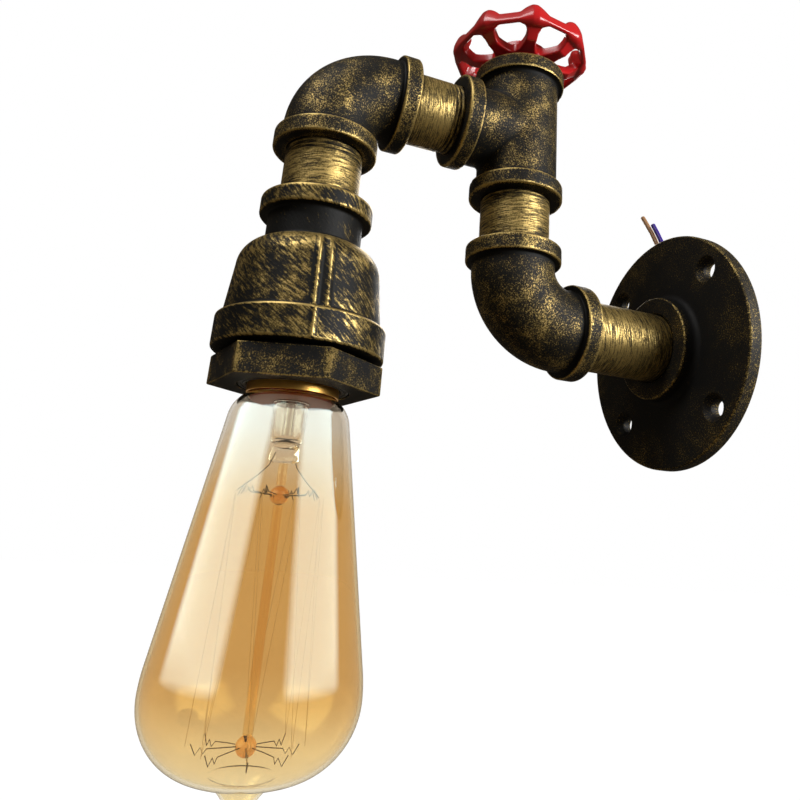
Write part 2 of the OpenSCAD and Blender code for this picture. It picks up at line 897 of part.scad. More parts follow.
// Outline of the bulb's glass from the cap down to the axis, moved inwards by a wall
function bulb_outline(wall) =
    let (
        belly_centre = [bulb_r - belly_r, bulb_belly_z()],
        neck_centre = bulb_neck_centre(),
        corner_centre = [bulb_r - corner_r, bulb_belly_z()],
        dome_centre = [0, bulb_dome_z()],
        neck_angle = acos((glass_neck_r - neck_centre[0]) / bulb_neck_r),
        corner_angle = -acos((bulb_r - corner_r) / (dome_r - corner_r))
    )
    concat(
        arc(neck_centre, bulb_neck_r - wall, neck_angle, bulb_taper),
        arc(belly_centre, belly_r - wall, bulb_taper, 0),
        [for (p = arc(corner_centre, corner_r - wall, 0, corner_angle)) if (p[1] < bulb_belly_z()) p],
        [for (p = arc(dome_centre, dome_r - wall, corner_angle, -90))
            if (p[0] < 0.99 * bulb_dome_edge(wall)) p]
    );

// Radius at which the dome takes over from the lower corner
function bulb_dome_edge(wall) = (dome_r - wall) * (bulb_r - corner_r) / (dome_r - corner_r);

// Height of the largest diameter, below the neck by the length of the glass's side
function bulb_belly_z() =
    let (
        neck_x = bulb_r - belly_r * (1 - cos(bulb_taper)) - bulb_side * sin(bulb_taper)
            - bulb_neck_r * cos(bulb_taper),
        neck_angle = acos((glass_neck_r - neck_x) / bulb_neck_r)
    )
    cap_rim - (belly_r - bulb_neck_r) * sin(bulb_taper) - bulb_side * cos(bulb_taper)
        - bulb_neck_r * sin(neck_angle);

function bulb_neck_centre() =
    [bulb_r - belly_r, bulb_belly_z()]
        + (belly_r - bulb_neck_r) * [cos(bulb_taper), sin(bulb_taper)]
        + bulb_side * [-sin(bulb_taper), cos(bulb_taper)];

function bulb_dome_z() =
    bulb_belly_z() + sqrt(pow(dome_r - corner_r, 2) - pow(bulb_r - corner_r, 2));

module bulb_glass() {
    outside = bulb_outline(0);
    inside = bulb_outline(glass_wall);
    dome_end = bulb_dome_z() - dome_r;
    tip_root = bulb_dome_z() - sqrt(pow(dome_r, 2) - pow(tip_r, 2)) + glass_wall / 3;
    color(amber_glass) translate([0, drop_y, 0]) rotate_extrude() {
        polygon(concat(
            [[inside[0][0], glass_collar], [outside[0][0], glass_collar]],
            outside,
            [for (i = [len(inside) - 1 : -1 : 0]) inside[i]]
        ));
        polygon([
            [0, dome_end + glass_wall / 3], [tip_r, tip_root],
            [tip_r * 0.66, dome_end - tip_len * 0.22], [tip_r * 0.4, dome_end - tip_len * 0.5],
            [tip_r * 0.15, dome_end - tip_len], [0, dome_end - tip_len]
        ]);
    }
}

module glass_mount() {
    flare_r = glass_neck_r - glass_wall - fit;
    press_top = upper_button_z + press_gap + press_len;
    press_w = 2 * stem_r - 1.4;
    color(clear_glass) translate([0, drop_y, 0]) {
        rotate_extrude()
            polygon([
                [0, glass_collar], [flare_r, glass_collar], [flare_r - 1.5, glass_collar - 1.5],
                [stem_r + 1, glass_collar - stem_flare_h / 2], [stem_r, glass_collar - stem_flare_h],
                [stem_r - 0.5, press_top], [0, press_top]
            ]);
        translate([-press_w / 2, -press_t / 2, press_top - press_len])
            cube([press_w, press_t, press_len + 1]);
        translate([0, 0, lower_button_z])
            cylinder(r = rod_r, h = press_top - lower_button_z);
        for (level = [upper_button_z, lower_button_z])
            translate([0, 0, level])
                sphere(button_r);
    }
}

// Points of one support wire in its own upright plane: out from the button to a small hook
function support_route(turn, level, reach, lift) =
    let (
        out = [cos(turn), sin(turn), 0],
        up = [0, 0, lift],
        bends = [
            [button_r - 1, 0], [reach * 0.45, 0.6], [reach * 0.72, 0.2], [reach * 0.84, 2.2], [reach, -0.4]
        ]
    )
    [for (p = bends) [0, drop_y, level] + p[0] * out + p[1] * up];

function support_turn(i) = 15 + 360 * i / support_count;

module support_wires() {
    color(steel) for (i = [0 : support_count - 1]) {
        tube(support_route(support_turn(i), upper_button_z, upper_support_reach, 1),
            support_r, 6, [-sin(support_turn(i)), cos(support_turn(i)), 0]);
        tube(support_route(support_turn(i + 0.5), lower_button_z, lower_support_reach, -1),
            support_r, 6, [-sin(support_turn(i + 0.5)), cos(support_turn(i + 0.5)), 0]);
    }
}

// Bearing of each lead-in wire: just outside the first and the last upper hook
function lead_in_bearing(side) =
    side == 0 ? support_turn(0) - lead_in_turn : support_turn(support_count - 1) + lead_in_turn;

module lead_in_wires() {
    top = upper_button_z + press_gap + 1;
    color(steel) for (side = [0, 1]) {
        turn = lead_in_bearing(side);
        out = [cos(turn), sin(turn), 0];
        route = [[1.5, top], [4.5, top - 3], [8, top - 6.5], [upper_support_reach, upper_button_z]];
        tube([for (p = route) [0, drop_y, p[1]] + p[0] * out], support_r, 6, [-sin(turn), cos(turn), 0]);
    }
}

// End of the filament at a lead-in wire
function filament_end(side) =
    let (turn = lead_in_bearing(side))
    [0, drop_y, upper_button_z] + (upper_support_reach + filament_out) * [cos(turn), sin(turn), 0];

// Points where the filament turns over a hook: one each side of the hook's upright plane
function filament_turn(turn, reach, level) =
    [for (side = [-0.5, 0.5])
        [0, drop_y, level] + reach * [cos(turn), sin(turn), 0] + side * [-sin(turn), cos(turn), 0]];

module filament() {
    hung = [for (i = [0 : support_count - 1]) each concat(
        filament_turn(support_turn(i), upper_support_reach + filament_out, upper_button_z),
        i == support_count - 1 ? []
            : filament_turn(support_turn(i + 0.5), lower_support_reach + filament_out, lower_button_z)
    )];
    route = concat([filament_end(0)], hung, [filament_end(1)]);
    color(steel) tube(route, filament_r, 4, [0.31, 0.17, 0.93]);
}

module cap_shell() {
    side = thread_side(0);
    last = side[len(side) - 1];
    step = cap_rim + skirt_h;
    color(brass) translate([0, drop_y, 0]) rotate_extrude()
        polygon(concat(
            [[skirt_r - cap_wall, cap_rim], [skirt_r, cap_rim], [skirt_r, step], [side[0][0], step]],
            side,
            [[last[0] - 3, last[1] + 1.5], [last[0] - 3.5, last[1] + 1.5]],
            [for (i = [len(side) - 1 : -1 : 0]) [side[i][0] - cap_wall, side[i][1]]],
            [[side[0][0] - cap_wall, step - cap_wall], [skirt_r - cap_wall, step - cap_wall]]
        ));
}

module cap_insulator() {
    side = thread_side(0);
    last = side[len(side) - 1];
    base = last[1] + 1.5;
    color(black_phenolic) translate([0, drop_y, 0])
        rotate_extrude()
            polygon([
                [0, base - 2], [last[0] - 4, base - 2], [last[0] - 4, base], [last[0] - 3, base],
                [cap_contact_r + 0.6, cap_tip - cap_contact_h], [0, cap_tip - cap_contact_h]
            ]);
}

module cap_contact() {
    color(steel) translate([0, drop_y, cap_tip - cap_contact_h])
        rotate_extrude()
            polygon([
                [0, 0], [cap_contact_r, 0], [cap_contact_r - 0.4, cap_contact_h - 0.3],
                [cap_contact_r - 1.4, cap_contact_h], [0, cap_contact_h]
            ]);
}

module wire(route, sleeve) {
    color(sleeve) tube(route, wire_d / 2, wire_sides, [1, 0, 0]);
}

module live_lead() {
    wire(live_route, brown_sleeve);
}

module neutral_lead() {
    wire(neutral_route, blue_sleeve);
}

// Even points on a straight run between two points, without the first
function run(from, to, step = 6) =
    let (count = max(1, round(norm(to - from) / step)))
    [for (i = [1 : count]) from + (to - from) * i / count];

// Points of a bend in the plane at x, without the first
function bend(x, centre, r, a0, a1) =
    [for (i = [1 : 6]) let (a = a0 + (a1 - a0) * i / 6) [x, centre[0] + r * cos(a), centre[1] + r * sin(a)]];

// From the mouth behind the wall to the top of the riser
function feed_route(x) =
    let (mouth = [x, mouth_y, 0], corner = [x, riser_y + wire_bend, 0])
    concat([mouth], run(mouth, corner),
        bend(x, [riser_y + wire_bend, wire_bend], wire_bend, 270, 180),
        run([x, riser_y, wire_bend], [x, riser_y, riser_joint_z]));

module live_feed() {
    wire(feed_route(-wire_x), brown_sleeve);
}

module neutral_feed() {
    wire(feed_route(wire_x), blue_sleeve);
}

module live_riser_wire() {
    start = [-wire_x, riser_y, riser_joint_z + joint_gap];
    wire(concat([start], run(start, [-wire_x, riser_y, switch_end])), brown_sleeve);
}

module neutral_arm_wire() {
    start = [wire_x, riser_y, riser_joint_z + joint_gap];
    turn = arm_height - wire_bend;
    route = concat(
        [start],
        turn > riser_joint_z + joint_gap ? run(start, [wire_x, riser_y, turn]) : [],
        bend(wire_x, [riser_y - wire_bend, turn], wire_bend, 0, 90),
        run([wire_x, riser_y - wire_bend, arm_height], [wire_x, arm_joint_y, arm_height])
    );
    wire(route, blue_sleeve);
}

module switched_arm_wire() {
    y = riser_y - switch_wire_bend;
    turn = arm_height + switch_wire_bend;
    start = [-wire_x, y, switch_end];
    route = concat(
        [start],
        switch_end > turn ? run(start, [-wire_x, y, turn]) : [],
        bend(-wire_x, [y - switch_wire_bend, turn], switch_wire_bend, 0, -90),
        run([-wire_x, y - switch_wire_bend, arm_height], [-wire_x, arm_joint_y, arm_height])
    );
    wire(route, brown_sleeve);
}

// From the arm's joint round the upper elbow and down to a terminal
function drop_route(x) =
    let (start = [x, arm_joint_y - joint_gap, arm_height], top = [x, drop_y, arm_height - wire_bend])
    concat([start], run(start, [x, drop_y + wire_bend, arm_height]),
        bend(x, [drop_y + wire_bend, arm_height - wire_bend], wire_bend, 90, 180),
        run(top, [x, drop_y, holder_top + terminal_h]));

module neutral_drop_wire() {
    wire(drop_route(wire_x), blue_sleeve);
}

module switched_drop_wire() {
    wire(drop_route(-wire_x), brown_sleeve);
}

wall_flange();
wall_nipple();
lower_elbow();
riser_nipple();
tee();
arm_nipple();
upper_elbow();
drop_nipple();
bell_reducer();
hex_bush();
tee_plug();
switch_body();
switch_washer();
switch_locknut();
switch_spindle();
handwheel();
wheel_screw();
lampholder_body();
lampholder_ring();
screw_shell();
centre_contact();
terminals();
terminal_screws();
bulb_glass();
glass_mount();
support_wires();
lead_in_wires();
filament();
cap_shell();
cap_insulator();
cap_contact();
live_lead();
neutral_lead();
live_feed();
neutral_feed();
live_riser_wire();
neutral_arm_wire();
switched_arm_wire();
neutral_drop_wire();
switched_drop_wire();
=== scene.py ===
"""Pipe wall light: the visual model, its finishes and its studio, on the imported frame."""
import math

import bmesh
import bpy
from bpy.props import FloatProperty, FloatVectorProperty, IntProperty, PointerProperty
from mathutils import Matrix, Vector


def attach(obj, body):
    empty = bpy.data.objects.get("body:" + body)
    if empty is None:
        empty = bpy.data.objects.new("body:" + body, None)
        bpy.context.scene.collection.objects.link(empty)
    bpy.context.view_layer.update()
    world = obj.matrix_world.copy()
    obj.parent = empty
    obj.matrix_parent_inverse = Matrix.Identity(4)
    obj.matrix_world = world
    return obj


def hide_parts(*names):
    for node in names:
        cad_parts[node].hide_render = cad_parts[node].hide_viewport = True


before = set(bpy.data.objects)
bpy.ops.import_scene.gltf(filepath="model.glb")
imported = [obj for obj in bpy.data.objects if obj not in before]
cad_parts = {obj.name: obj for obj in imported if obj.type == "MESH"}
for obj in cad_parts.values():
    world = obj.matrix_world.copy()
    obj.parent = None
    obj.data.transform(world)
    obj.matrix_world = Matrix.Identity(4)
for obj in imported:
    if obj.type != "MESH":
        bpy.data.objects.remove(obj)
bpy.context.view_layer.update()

bl_info = {
    "name": "Pipe wall light",
    "version": (1, 0, 0),
    "blender": (4, 5, 0),
    "location": "3D View > Sidebar > Pipe light",
    "description": "Builds a wall light of pipe fittings with a handwheel switch and a squirrel-cage bulb",
    "category": "Object",
}

MM = 0.001
WHITE = (1, 1, 1)
TO_MINUS_Y = Matrix.Rotation(math.radians(90), 4, "X")
TO_MINUS_Z = Matrix.Rotation(math.radians(180), 4, "X")

# Radii of rounded edges
CAST_EDGE = 0.9 * MM
HEXAGON_EDGE = 0.5 * MM
CUT_EDGE = 0.25 * MM
GLASS_EDGE = 0.2 * MM
SHEET_EDGE = 0.15 * MM
THREAD_EDGE = 0.12 * MM

# Spacing of points on the straight stretches of an outline
PIPE_STEP = 2 * MM
BEAD_STEP = 1.5 * MM
BELL_STEP = 1 * MM
GLASS_STEP = 4 * MM

# Room behind the end of a pipe in its fitting
SEAT_ROOM = 0.5 * MM

# Fineness of the cast skins
TEE_VOXEL = 0.55 * MM
WHEEL_VOXEL = 0.36 * MM

# Rubbed finishes: grain of a casting, reach of the painted shade in hollows and between parts, the bend in
# radians from which an edge wears, and the bend over which its wear grows
GRAIN = 0.5 * MM
SHADE_REACH = 7 * MM
WEAR_START = 0.12
WEAR_SPAN = 0.3

# Levels between which the tint of the bulb's glass changes
TINT_TOP = -40 * MM
TINT_END = -145 * MM

# Place and extent of each softbox, the ones for the bulb, the spot that all of them face, and the share of
# a softbox over which its edge fades
SOFTBOXES = {
    "left": ((0.10, -0.87, 0.30), (1.4, 1.0)),
    "right": ((0.50, 0.52, 0.30), (1.35, 1.0)),
    "front": ((0.66, 0.40, 0.17), (0.45, 0.45)),
    "top": ((0.25, -0.55, 0.72), (0.5, 0.5)),
    "back": ((-0.70, 0.30, 0.42), (0.6, 0.6)),
}
BULB_SOFTBOXES = ("left", "right")
SOFTBOX_TARGET = Vector((0, -0.12, -0.02))
SOFTBOX_FADE = 0.15

# Half the side of the floor
FLOOR_HALF = 6

# Radius of a lead, and the two routes in millimetres, from the flange's bore to the bare ends
LEAD_R = 1.0 * MM
LIVE_ROUTE = [
    (-3, -4, 0), (-3, -1.5, 0), (-3.1, 2, 1.2), (-3.4, 5.2, 3.9), (-4, 7.2, 8), (-5, 8, 13), (-7, 8, 20),
    (-9, 8, 27), (-11, 8, 34), (-13, 8, 41), (-15.2, 8, 48), (-17.8, 8, 55), (-21, 8, 61.5), (-24.4, 8, 67.2),
    (-27.6, 8, 72.4),
]
NEUTRAL_ROUTE = [
    (3, -4, 0), (3, -1.5, 0), (2.9, 2, 1.2), (2.6, 5.2, 3.9), (2, 7.2, 8), (1, 8, 13), (-1.4, 8, 20),
    (-4, 8, 27), (-6.6, 8, 34), (-9.2, 8, 41), (-11.8, 8, 48), (-14.6, 8, 55), (-17.4, 8, 60.6),
    (-20.3, 8, 65.8),
]

# Slot of each finish
FINISHES = {}

# CAD nodes inside the pipework that only get a finish
PLAIN_NODES = {
    "brown": ("live_feed", "live_riser_wire", "switched_arm_wire", "switched_drop_wire"),
    "blue": ("neutral_feed", "neutral_arm_wire", "neutral_drop_wire"),
    "phenolic": ("switch_body", "cap_insulator"),
    "steel": ("switch_spindle", "lampholder_ring", "terminal_screws", "cap_contact"),
    "brass": ("screw_shell", "centre_contact", "terminals"),
}

# Pieces that the side softboxes light
BULB_PIECES = ("bulb_envelope", "stem_glass", "glass_rod", "glass_buttons", "support_hooks", "lead_in",
               "filament_strand")


def size(name, description, default):
    """A length in metres."""
    return FloatProperty(name=name, description=description, default=default, unit="LENGTH", precision=5)


def angle(name, description, degrees):
    """An angle, given in degrees."""
    return FloatProperty(name=name, description=description, default=math.radians(degrees), subtype="ANGLE")


def power(name, description, watts):
    """A light's power."""
    return FloatProperty(name=name, description=description, default=watts, unit="POWER")


def count(name, description, default, least, most):
    """A whole number between two limits."""
    return IntProperty(name=name, description=description, default=default, min=least, max=most)


def tone(name, description, default):
    """A linear colour."""
    return FloatVectorProperty(name=name, description=description, default=default, subtype="COLOR",
                               min=0, max=1)


class PipeSizes(bpy.types.PropertyGroup):
    """Sizes of the pipes and their cast fittings."""

    pipe_r: size("Pipe radius", "Outside radius of the pipe", 0.01345)
    bore_r: size("Bore radius", "Inside radius of the pipe", 0.01085)
    socket_r: size("Socket radius", "Radius of a fitting's mouth", 0.0135)
    body_r: size("Body radius", "Outside radius of a fitting between its beads", 0.0158)
    branch_r: size("Branch radius", "Outside radius of the tee's branch", 0.0155)
    bead_r: size("Bead radius", "Outside radius of the bead round a mouth", 0.01825)
    bead_w: size("Bead width", "Width of that bead", 0.006)
    bead_edge: size("Bead edge", "Radius of the bead's edges", 0.0011)
    reach: size("Reach", "Distance from a fitting's centre to its mouths", 0.0285)
    bend_r: size("Bend", "Radius of an elbow's centre line", 0.0205)
    engage: size("Engagement", "Length of pipe inside a fitting", 0.0075)
    thread_pitch: size("Thread pitch", "Pitch of the pipe thread", 0.0018)
    thread_depth: size("Thread depth", "Depth of the pipe thread that shows", 0.0005)
    wall_reach: size("Wall reach", "Distance from the wall to the riser's axis", 0.074)
    arm_reach: size("Arm reach", "Distance from the riser's axis to the drop's", 0.076)
    arm_height: size("Arm height", "Height of the arm's axis above the flange's", 0.077)


class FlangeSizes(bpy.types.PropertyGroup):
    """Sizes of the wall flange."""

    flange_r: size("Radius", "Radius of the plate", 0.047)
    plate_t: size("Thickness", "Thickness of the plate", 0.0055)
    hub_r: size("Hub radius", "Radius of the hub", 0.0205)
    hub_h: size("Hub height", "Height of the hub's face above the wall", 0.0115)
    fillet: size("Fillet", "Radius between hub and plate", 0.0025)
    circle_r: size("Hole circle", "Radius of the circle through the screw holes", 0.0375)
    hole_r: size("Hole radius", "Radius of a screw hole", 0.0032)
    sink_r: size("Sink radius", "Radius of a hole's countersink", 0.0053)
    holes: count("Holes", "Number of screw holes", 4, 3, 6)


class HeadSizes(bpy.types.PropertyGroup):
    """Sizes of the reducer, the bush and the lampholder's face."""

    top: size("Top", "Level of the reducer's upper mouth", 0.0285)
    length: size("Length", "Length of the reducer", 0.0535)
    bead_r: size("Bead radius", "Radius of the reducer's upper bead", 0.01905)
    bead_h: size("Bead height", "Height of that bead", 0.0062)
    neck_r: size("Neck radius", "Radius of the neck", 0.016)
    neck_h: size("Neck height", "Length of the neck", 0.010)
    shoulder_r: size("Shoulder", "Radius of the round shoulder", 0.0095)
    bell_r: size("Bell radius", "Radius of the bell below the shoulder", 0.0237)
    foot_r: size("Foot radius", "Radius of the bell at its band", 0.0255)
    band_r: size("Band radius", "Radius of the lower band", 0.0274)
    band_h: size("Band height", "Height of the lower band", 0.0105)
    rib_stand: size("Rib height", "Height of the cast ribs", 0.0008)
    line_stand: size("Line height", "Height of the parting line on the lower band", 0.0004)
    thread_r: size("Thread radius", "Radius of the bush's thread", 0.0209)
    hex_r: size("Hexagon radius", "Radius to the hexagon's corners", 0.0274)
    hex_top: size("Hexagon top", "Level of the hexagon's upper face", -0.0262)
    hex_end: size("Hexagon end", "Level of the hexagon's lower face", -0.0356)
    hex_turn: angle("Hexagon turn", "Turn of the hexagon", 10)
    bush_top: size("Bush top", "Level of the upper end of the bush", -0.012)
    hole_r: size("Hole radius", "Radius of the hole through the bush", 0.0175)


class WheelSizes(bpy.types.PropertyGroup):
    """Sizes of the handwheel."""

    lobes: count("Lobes", "Number of lobes, each at a spoke's end", 8, 5, 10)
    base: size("Base", "Level of the hub's underside", 0.1092)
    corner_r: size("Corner radius", "Radius to the rim's lower corners", 0.0296)
    rim_low: size("Rim underside", "Height of the rim's underside above the hub's", 0.0044)
    rim_h: size("Rim height", "Height of the rim between two lobes", 0.0056)
    lobe_h: size("Lobe height", "Height of the rim at a lobe", 0.0110)
    rim_t: size("Rim thickness", "Thickness of the rim between two lobes", 0.0022)
    lobe_t: size("Lobe thickness", "Thickness of the rim at a lobe", 0.0062)
    lobe_half: angle("Lobe width", "Half the angle that a lobe takes up on the rim", 13)
    pocket_r: size("Pocket", "Radius of the pocket in a lobe's inner side", 0.0021)
    hub_r: size("Hub radius", "Radius of the hub", 0.012)
    hub_h: size("Hub height", "Height of the hub", 0.0065)
    spoke_t: size("Spoke thickness", "Thickness of a spoke", 0.0038)
    climb: size("Climb", "Length over which a spoke climbs to the rim", 0.006)
    bore_r: size("Bore radius", "Radius of the bore for the spindle", 0.00305)
    lean: angle("Lean", "Lean of the rim", 20)
    turn: angle("Turn", "Turn of the wheel", 345)


class BulbSizes(bpy.types.PropertyGroup):
    """Sizes of the bulb."""

    rim: size("Cap rim", "Level of the cap's lower rim", -0.0376)
    skirt_r: size("Cap radius", "Radius of the cap's skirt", 0.0144)
    sheet: size("Cap sheet", "Thickness of the cap's sheet brass", 0.0005)
    neck_r: size("Neck radius", "Radius of the round below the cap", 0.010)
    collar_r: size("Collar radius", "Radius of the glass inside the cap", 0.0132)
    side: size("Side", "Length of the straight side", 0.070)
    belly_r: size("Belly", "Radius between the straight side and the largest diameter", 0.042)
    corner_r: size("Corner", "Radius of the lower corner", 0.020)
    dome_r: size("Dome", "Radius of the bottom dome", 0.056)
    glass_r: size("Largest radius", "Largest radius of the glass", 0.0304)
    belly_z: size("Belly level", "Level of the largest diameter", -0.120794)
    wall: size("Wall", "Thickness of the glass", 0.0009)
    tip: size("Tip", "Length of the sealed tip", 0.009)
    tip_r: size("Tip radius", "Radius of the tip's root", 0.0095)
    nib_r: size("Nib radius", "Radius of the tip's end", 0.0014)
    upper_z: size("Upper button", "Level of the upper button", -0.0676)
    lower_z: size("Lower button", "Level of the lower button", -0.1336)
    upper_reach: size("Upper wires", "Mean length of the wires on the upper button", 0.0128)
    lower_reach: size("Lower wires", "Mean length of the wires on the lower button", 0.0150)
    button_r: size("Button radius", "Radius of a glass button", 0.0029)
    rod_r: size("Rod radius", "Radius of the glass rod", 0.0014)
    wire_r: size("Wire radius", "Radius of a support wire", 0.00014)
    thread_r: size("Filament radius", "Radius of the filament", 0.00005)
    supports: count("Supports", "Number of wires on a button", 8, 5, 12)
    taper: angle("Taper", "Lean of the side", 9.2)


class FinishTones(bpy.types.PropertyGroup):
    """Colours of the finishes."""

    gold: tone("Gold", "Rubbed gold on the bronze", (0.60, 0.43, 0.15))
    deep_gold: tone("Deep gold", "Gold where it is rubbed thin", (0.15, 0.105, 0.032))
    soot: tone("Soot", "Dark ground under the gold", (0.005, 0.005, 0.0045))
    iron: tone("Iron", "Dark iron of the flange and the bush", (0.009, 0.009, 0.009))
    red: tone("Red", "Enamel of the handwheel", (0.56, 0.012, 0.014))
    brass: tone("Brass", "Brass of the cap", (0.95, 0.54, 0.13))
    steel: tone("Steel", "Steel of the nut, the washer and the screw", (0.55, 0.55, 0.56))
    phenolic: tone("Phenolic", "Lampholder and other insulators", (0.02, 0.02, 0.022))
    amber: tone("Amber", "Lustre of the glass", (0.75, 0.54, 0.27))
    pale: tone("Pale", "Lustre near the cap", (0.76, 0.70, 0.61))
    honey: tone("Honey", "Lustre at the bottom", (0.92, 0.81, 0.57))
    clear: tone("Clear", "Glass of the stem", (0.98, 0.96, 0.92))
    button: tone("Button", "Glass of the buttons", (0.88, 0.52, 0.20))
    rod: tone("Rod", "Glass of the rod between the buttons", (0.93, 0.76, 0.48))
    flare: tone("Flare", "Inside of the bulb's neck", (0.20, 0.022, 0.005))
    strand: tone("Strand", "Carbon thread of the filament", (0.50, 0.33, 0.15))
    hook: tone("Hook", "Wire of the supports", (0.09, 0.055, 0.03))
    brown: tone("Brown", "Sleeve of the live lead", (0.40, 0.21, 0.09))
    blue: tone("Blue", "Sleeve of the neutral lead", (0.045, 0.016, 0.26))
    warmth: tone("Warmth", "Colour of the surroundings as a light", (1.0, 0.84, 0.64))
    cool: tone("Cool", "Colour of the softboxes that light the bulb", (0.66, 0.92, 1.0))
    floor: tone("Floor", "Floor where it doesn't glow", (0.1, 0.1, 0.1))


class StudioSettings(bpy.types.PropertyGroup):
    """Camera, lights and floor."""

    lens: FloatProperty(name="Lens", description="Focal length of the camera", default=32.887, unit="CAMERA")
    shift: FloatVectorProperty(name="Shift", description="Shift of the picture, as a share of its width",
                               size=2, default=(-0.0625, -0.14375))
    spot: FloatVectorProperty(name="Place", description="Place of the camera", subtype="TRANSLATION",
                              default=(0.23131, -0.191755, -0.077161))
    heading: angle("Heading", "Turn of the view from +Y towards -X", 68.163)
    pitch: angle("Pitch", "Upward tilt of the view", 19.219)
    roll: angle("Roll", "Roll of the view", 3.731)
    left_power: power("Left box", "Power of the left softbox", 30)
    right_power: power("Right box", "Power of the right softbox", 28)
    front_power: power("Front box", "Power of the softbox beside the camera", 12)
    top_power: power("Top box", "Power of the softbox above", 5)
    back_power: power("Back box", "Power of the softbox on the far side", 5)
    fill: FloatProperty(name="Fill", description="Strength of the surroundings as a light", default=0.09)
    sheen: FloatProperty(name="Sheen", description="Strength of the surroundings in glass", default=0.3)
    floor_z: size("Floor", "Level of the floor", -0.4)


def arc(centre, radius, start, end, steps):
    """Points of an arc between two angles in radians."""
    angles = [start + (end - start) * i / steps for i in range(steps + 1)]
    return [(centre[0] + radius * math.cos(a), centre[1] + radius * math.sin(a)) for a in angles]


def evenly(start, end, step):
    """Points on a straight line, about a step apart, with both ends."""
    parts = max(1, round(math.dist(start, end) / step))
    return [tuple(a + (b - a) * i / parts for a, b in zip(start, end)) for i in range(parts + 1)]


def ring(inner, outer, low, high):
    """Outline of a ring between two levels, or of a disc where its inner radius is 0."""
    return [(inner, low), (outer, low), (outer, high), (inner, high)]


def drawn(points, level):
    """Outline whose points are given in millimetres, from a level."""
    return [(r * MM, level + h * MM) for r, h in points]


def riser_axis(pipes):
    """Place of the axis through the riser, the tee and the handwheel."""
    return Matrix.Translation((0, -pipes.wall_reach, 0))


def drop_axis(pipes):
    """Place of the axis through the drop pipe, the reducer and the bulb."""
    return Matrix.Translation((0, -pipes.wall_reach - pipes.arm_reach, 0))


def settle(bm):
    """Merges doubled vertices and turns the faces outwards."""
    bmesh.ops.remove_doubles(bm, verts=bm.verts[:], dist=1e-7)
    bmesh.ops.recalc_face_normals(bm, faces=bm.faces[:])
    return bm


def turned(outline, steps=128):
    """A mesh spun about Z from (radius, height) points, joined last to first unless both lie on the axis."""
    bm = bmesh.new()
    verts = [bm.verts.new((r, 0, h)) for r, h in outline]
    edges = [bm.edges.new(pair) for pair in zip(verts, verts[1:])]
    if outline[0][0] or outline[-1][0]:
        edges.append(bm.edges.new((verts[-1], verts[0])))
    bmesh.ops.spin(bm, geom=verts + edges, cent=(0, 0, 0), axis=(0, 0, 1), dvec=(0, 0, 0), angle=math.tau,
                   steps=steps, use_merge=True, use_normal_flip=False, use_duplicate=False)
    return settle(bm)


def lofted(stations, sides, loop=False):
    """Rings of equal count, one at each station's matrix, closed in a loop or by two caps."""
    bm = bmesh.new()
    first = bmesh.ops.create_circle(bm, cap_ends=False, segments=sides, radius=1)["verts"]
    bmesh.ops.transform(bm, matrix=stations[0], verts=first)
    start = bm.edges[:]
    ends = start
    here = stations[0]
    for station in stations[1:]:
        made = bmesh.ops.extrude_edge_only(bm, edges=ends)["geom"]
        verts = [g for g in made if isinstance(g, bmesh.types.BMVert)]
        fresh = set(verts)
        ends = [e for e in bm.edges if e.verts[0] in fresh and e.verts[1] in fresh]
        bmesh.ops.transform(bm, matrix=station @ here.inverted(), verts=verts)
        here = station
    if loop:
        bmesh.ops.bridge_loops(bm, edges=start + ends)
    else:
        bmesh.ops.holes_fill(bm, edges=start + ends, sides=sides)
    return settle(bm)


def soften(bm, width, segments=3, limit=35, where=None):
    """Rounds the edges whose faces meet at more than a limit in degrees."""
    sharp = [e for e in bm.edges if len(e.link_faces) == 2 and e.calc_face_angle() > math.radians(limit)
             and (where is None or where(e))]
    bmesh.ops.bevel(bm, geom=sharp, offset=width, offset_type="OFFSET", affect="EDGES", segments=segments,
                    profile=0.5, clamp_overlap=True, material=-1)
    return bm


def moved(bm, matrix):
    """Places a mesh."""
    bmesh.ops.transform(bm, matrix=matrix, verts=bm.verts[:])
    return bm


def joined(parts):
    """Several meshes as one."""
    whole = bmesh.new()
    for bm in parts:
        mesh = bpy.data.meshes.new("part")
        bm.to_mesh(mesh)
        bm.free()
        whole.from_mesh(mesh)
        bpy.data.meshes.remove(mesh)
    return whole


def loose_object(bm, name):
    """An object that holds a mesh."""
    mesh = bpy.data.meshes.new(name)
    bm.to_mesh(mesh)
    bm.free()
    obj = bpy.data.objects.new(name, mesh)
    bpy.context.scene.collection.objects.link(obj)
    return obj


def shaped(obj):
    """The mesh that an object's modifiers make; the object goes."""
    graph = bpy.context.evaluated_depsgraph_get()
    mesh = bpy.data.meshes.new_from_object(obj.evaluated_get(graph))
    bm = bmesh.new()
    bm.from_mesh(mesh)
    bpy.data.meshes.remove(mesh)
    bpy.data.objects.remove(obj)
    return bm


def cast(bm, voxel):
    """One cast skin round overlapping solids, with its corners smoothed."""
    obj = loose_object(bm, "casting")
    skin = obj.modifiers.new("Skin", "REMESH")
    skin.mode = "VOXEL"
    skin.voxel_size = voxel
    flow = obj.modifiers.new("Flow", "SMOOTH")
    flow.factor = 0.5
    flow.iterations = 4
    return shaped(obj)


def bored(bm, cutter):
    """A solid less another."""
    obj = loose_object(bm, "blank")
    tool = loose_object(cutter, "cutter")
    cut = obj.modifiers.new("Bore", "BOOLEAN")
    cut.operation = "DIFFERENCE"
    cut.solver = "EXACT"
    cut.object = tool
    result = shaped(obj)
    bpy.data.objects.remove(tool)
    return settle(result)


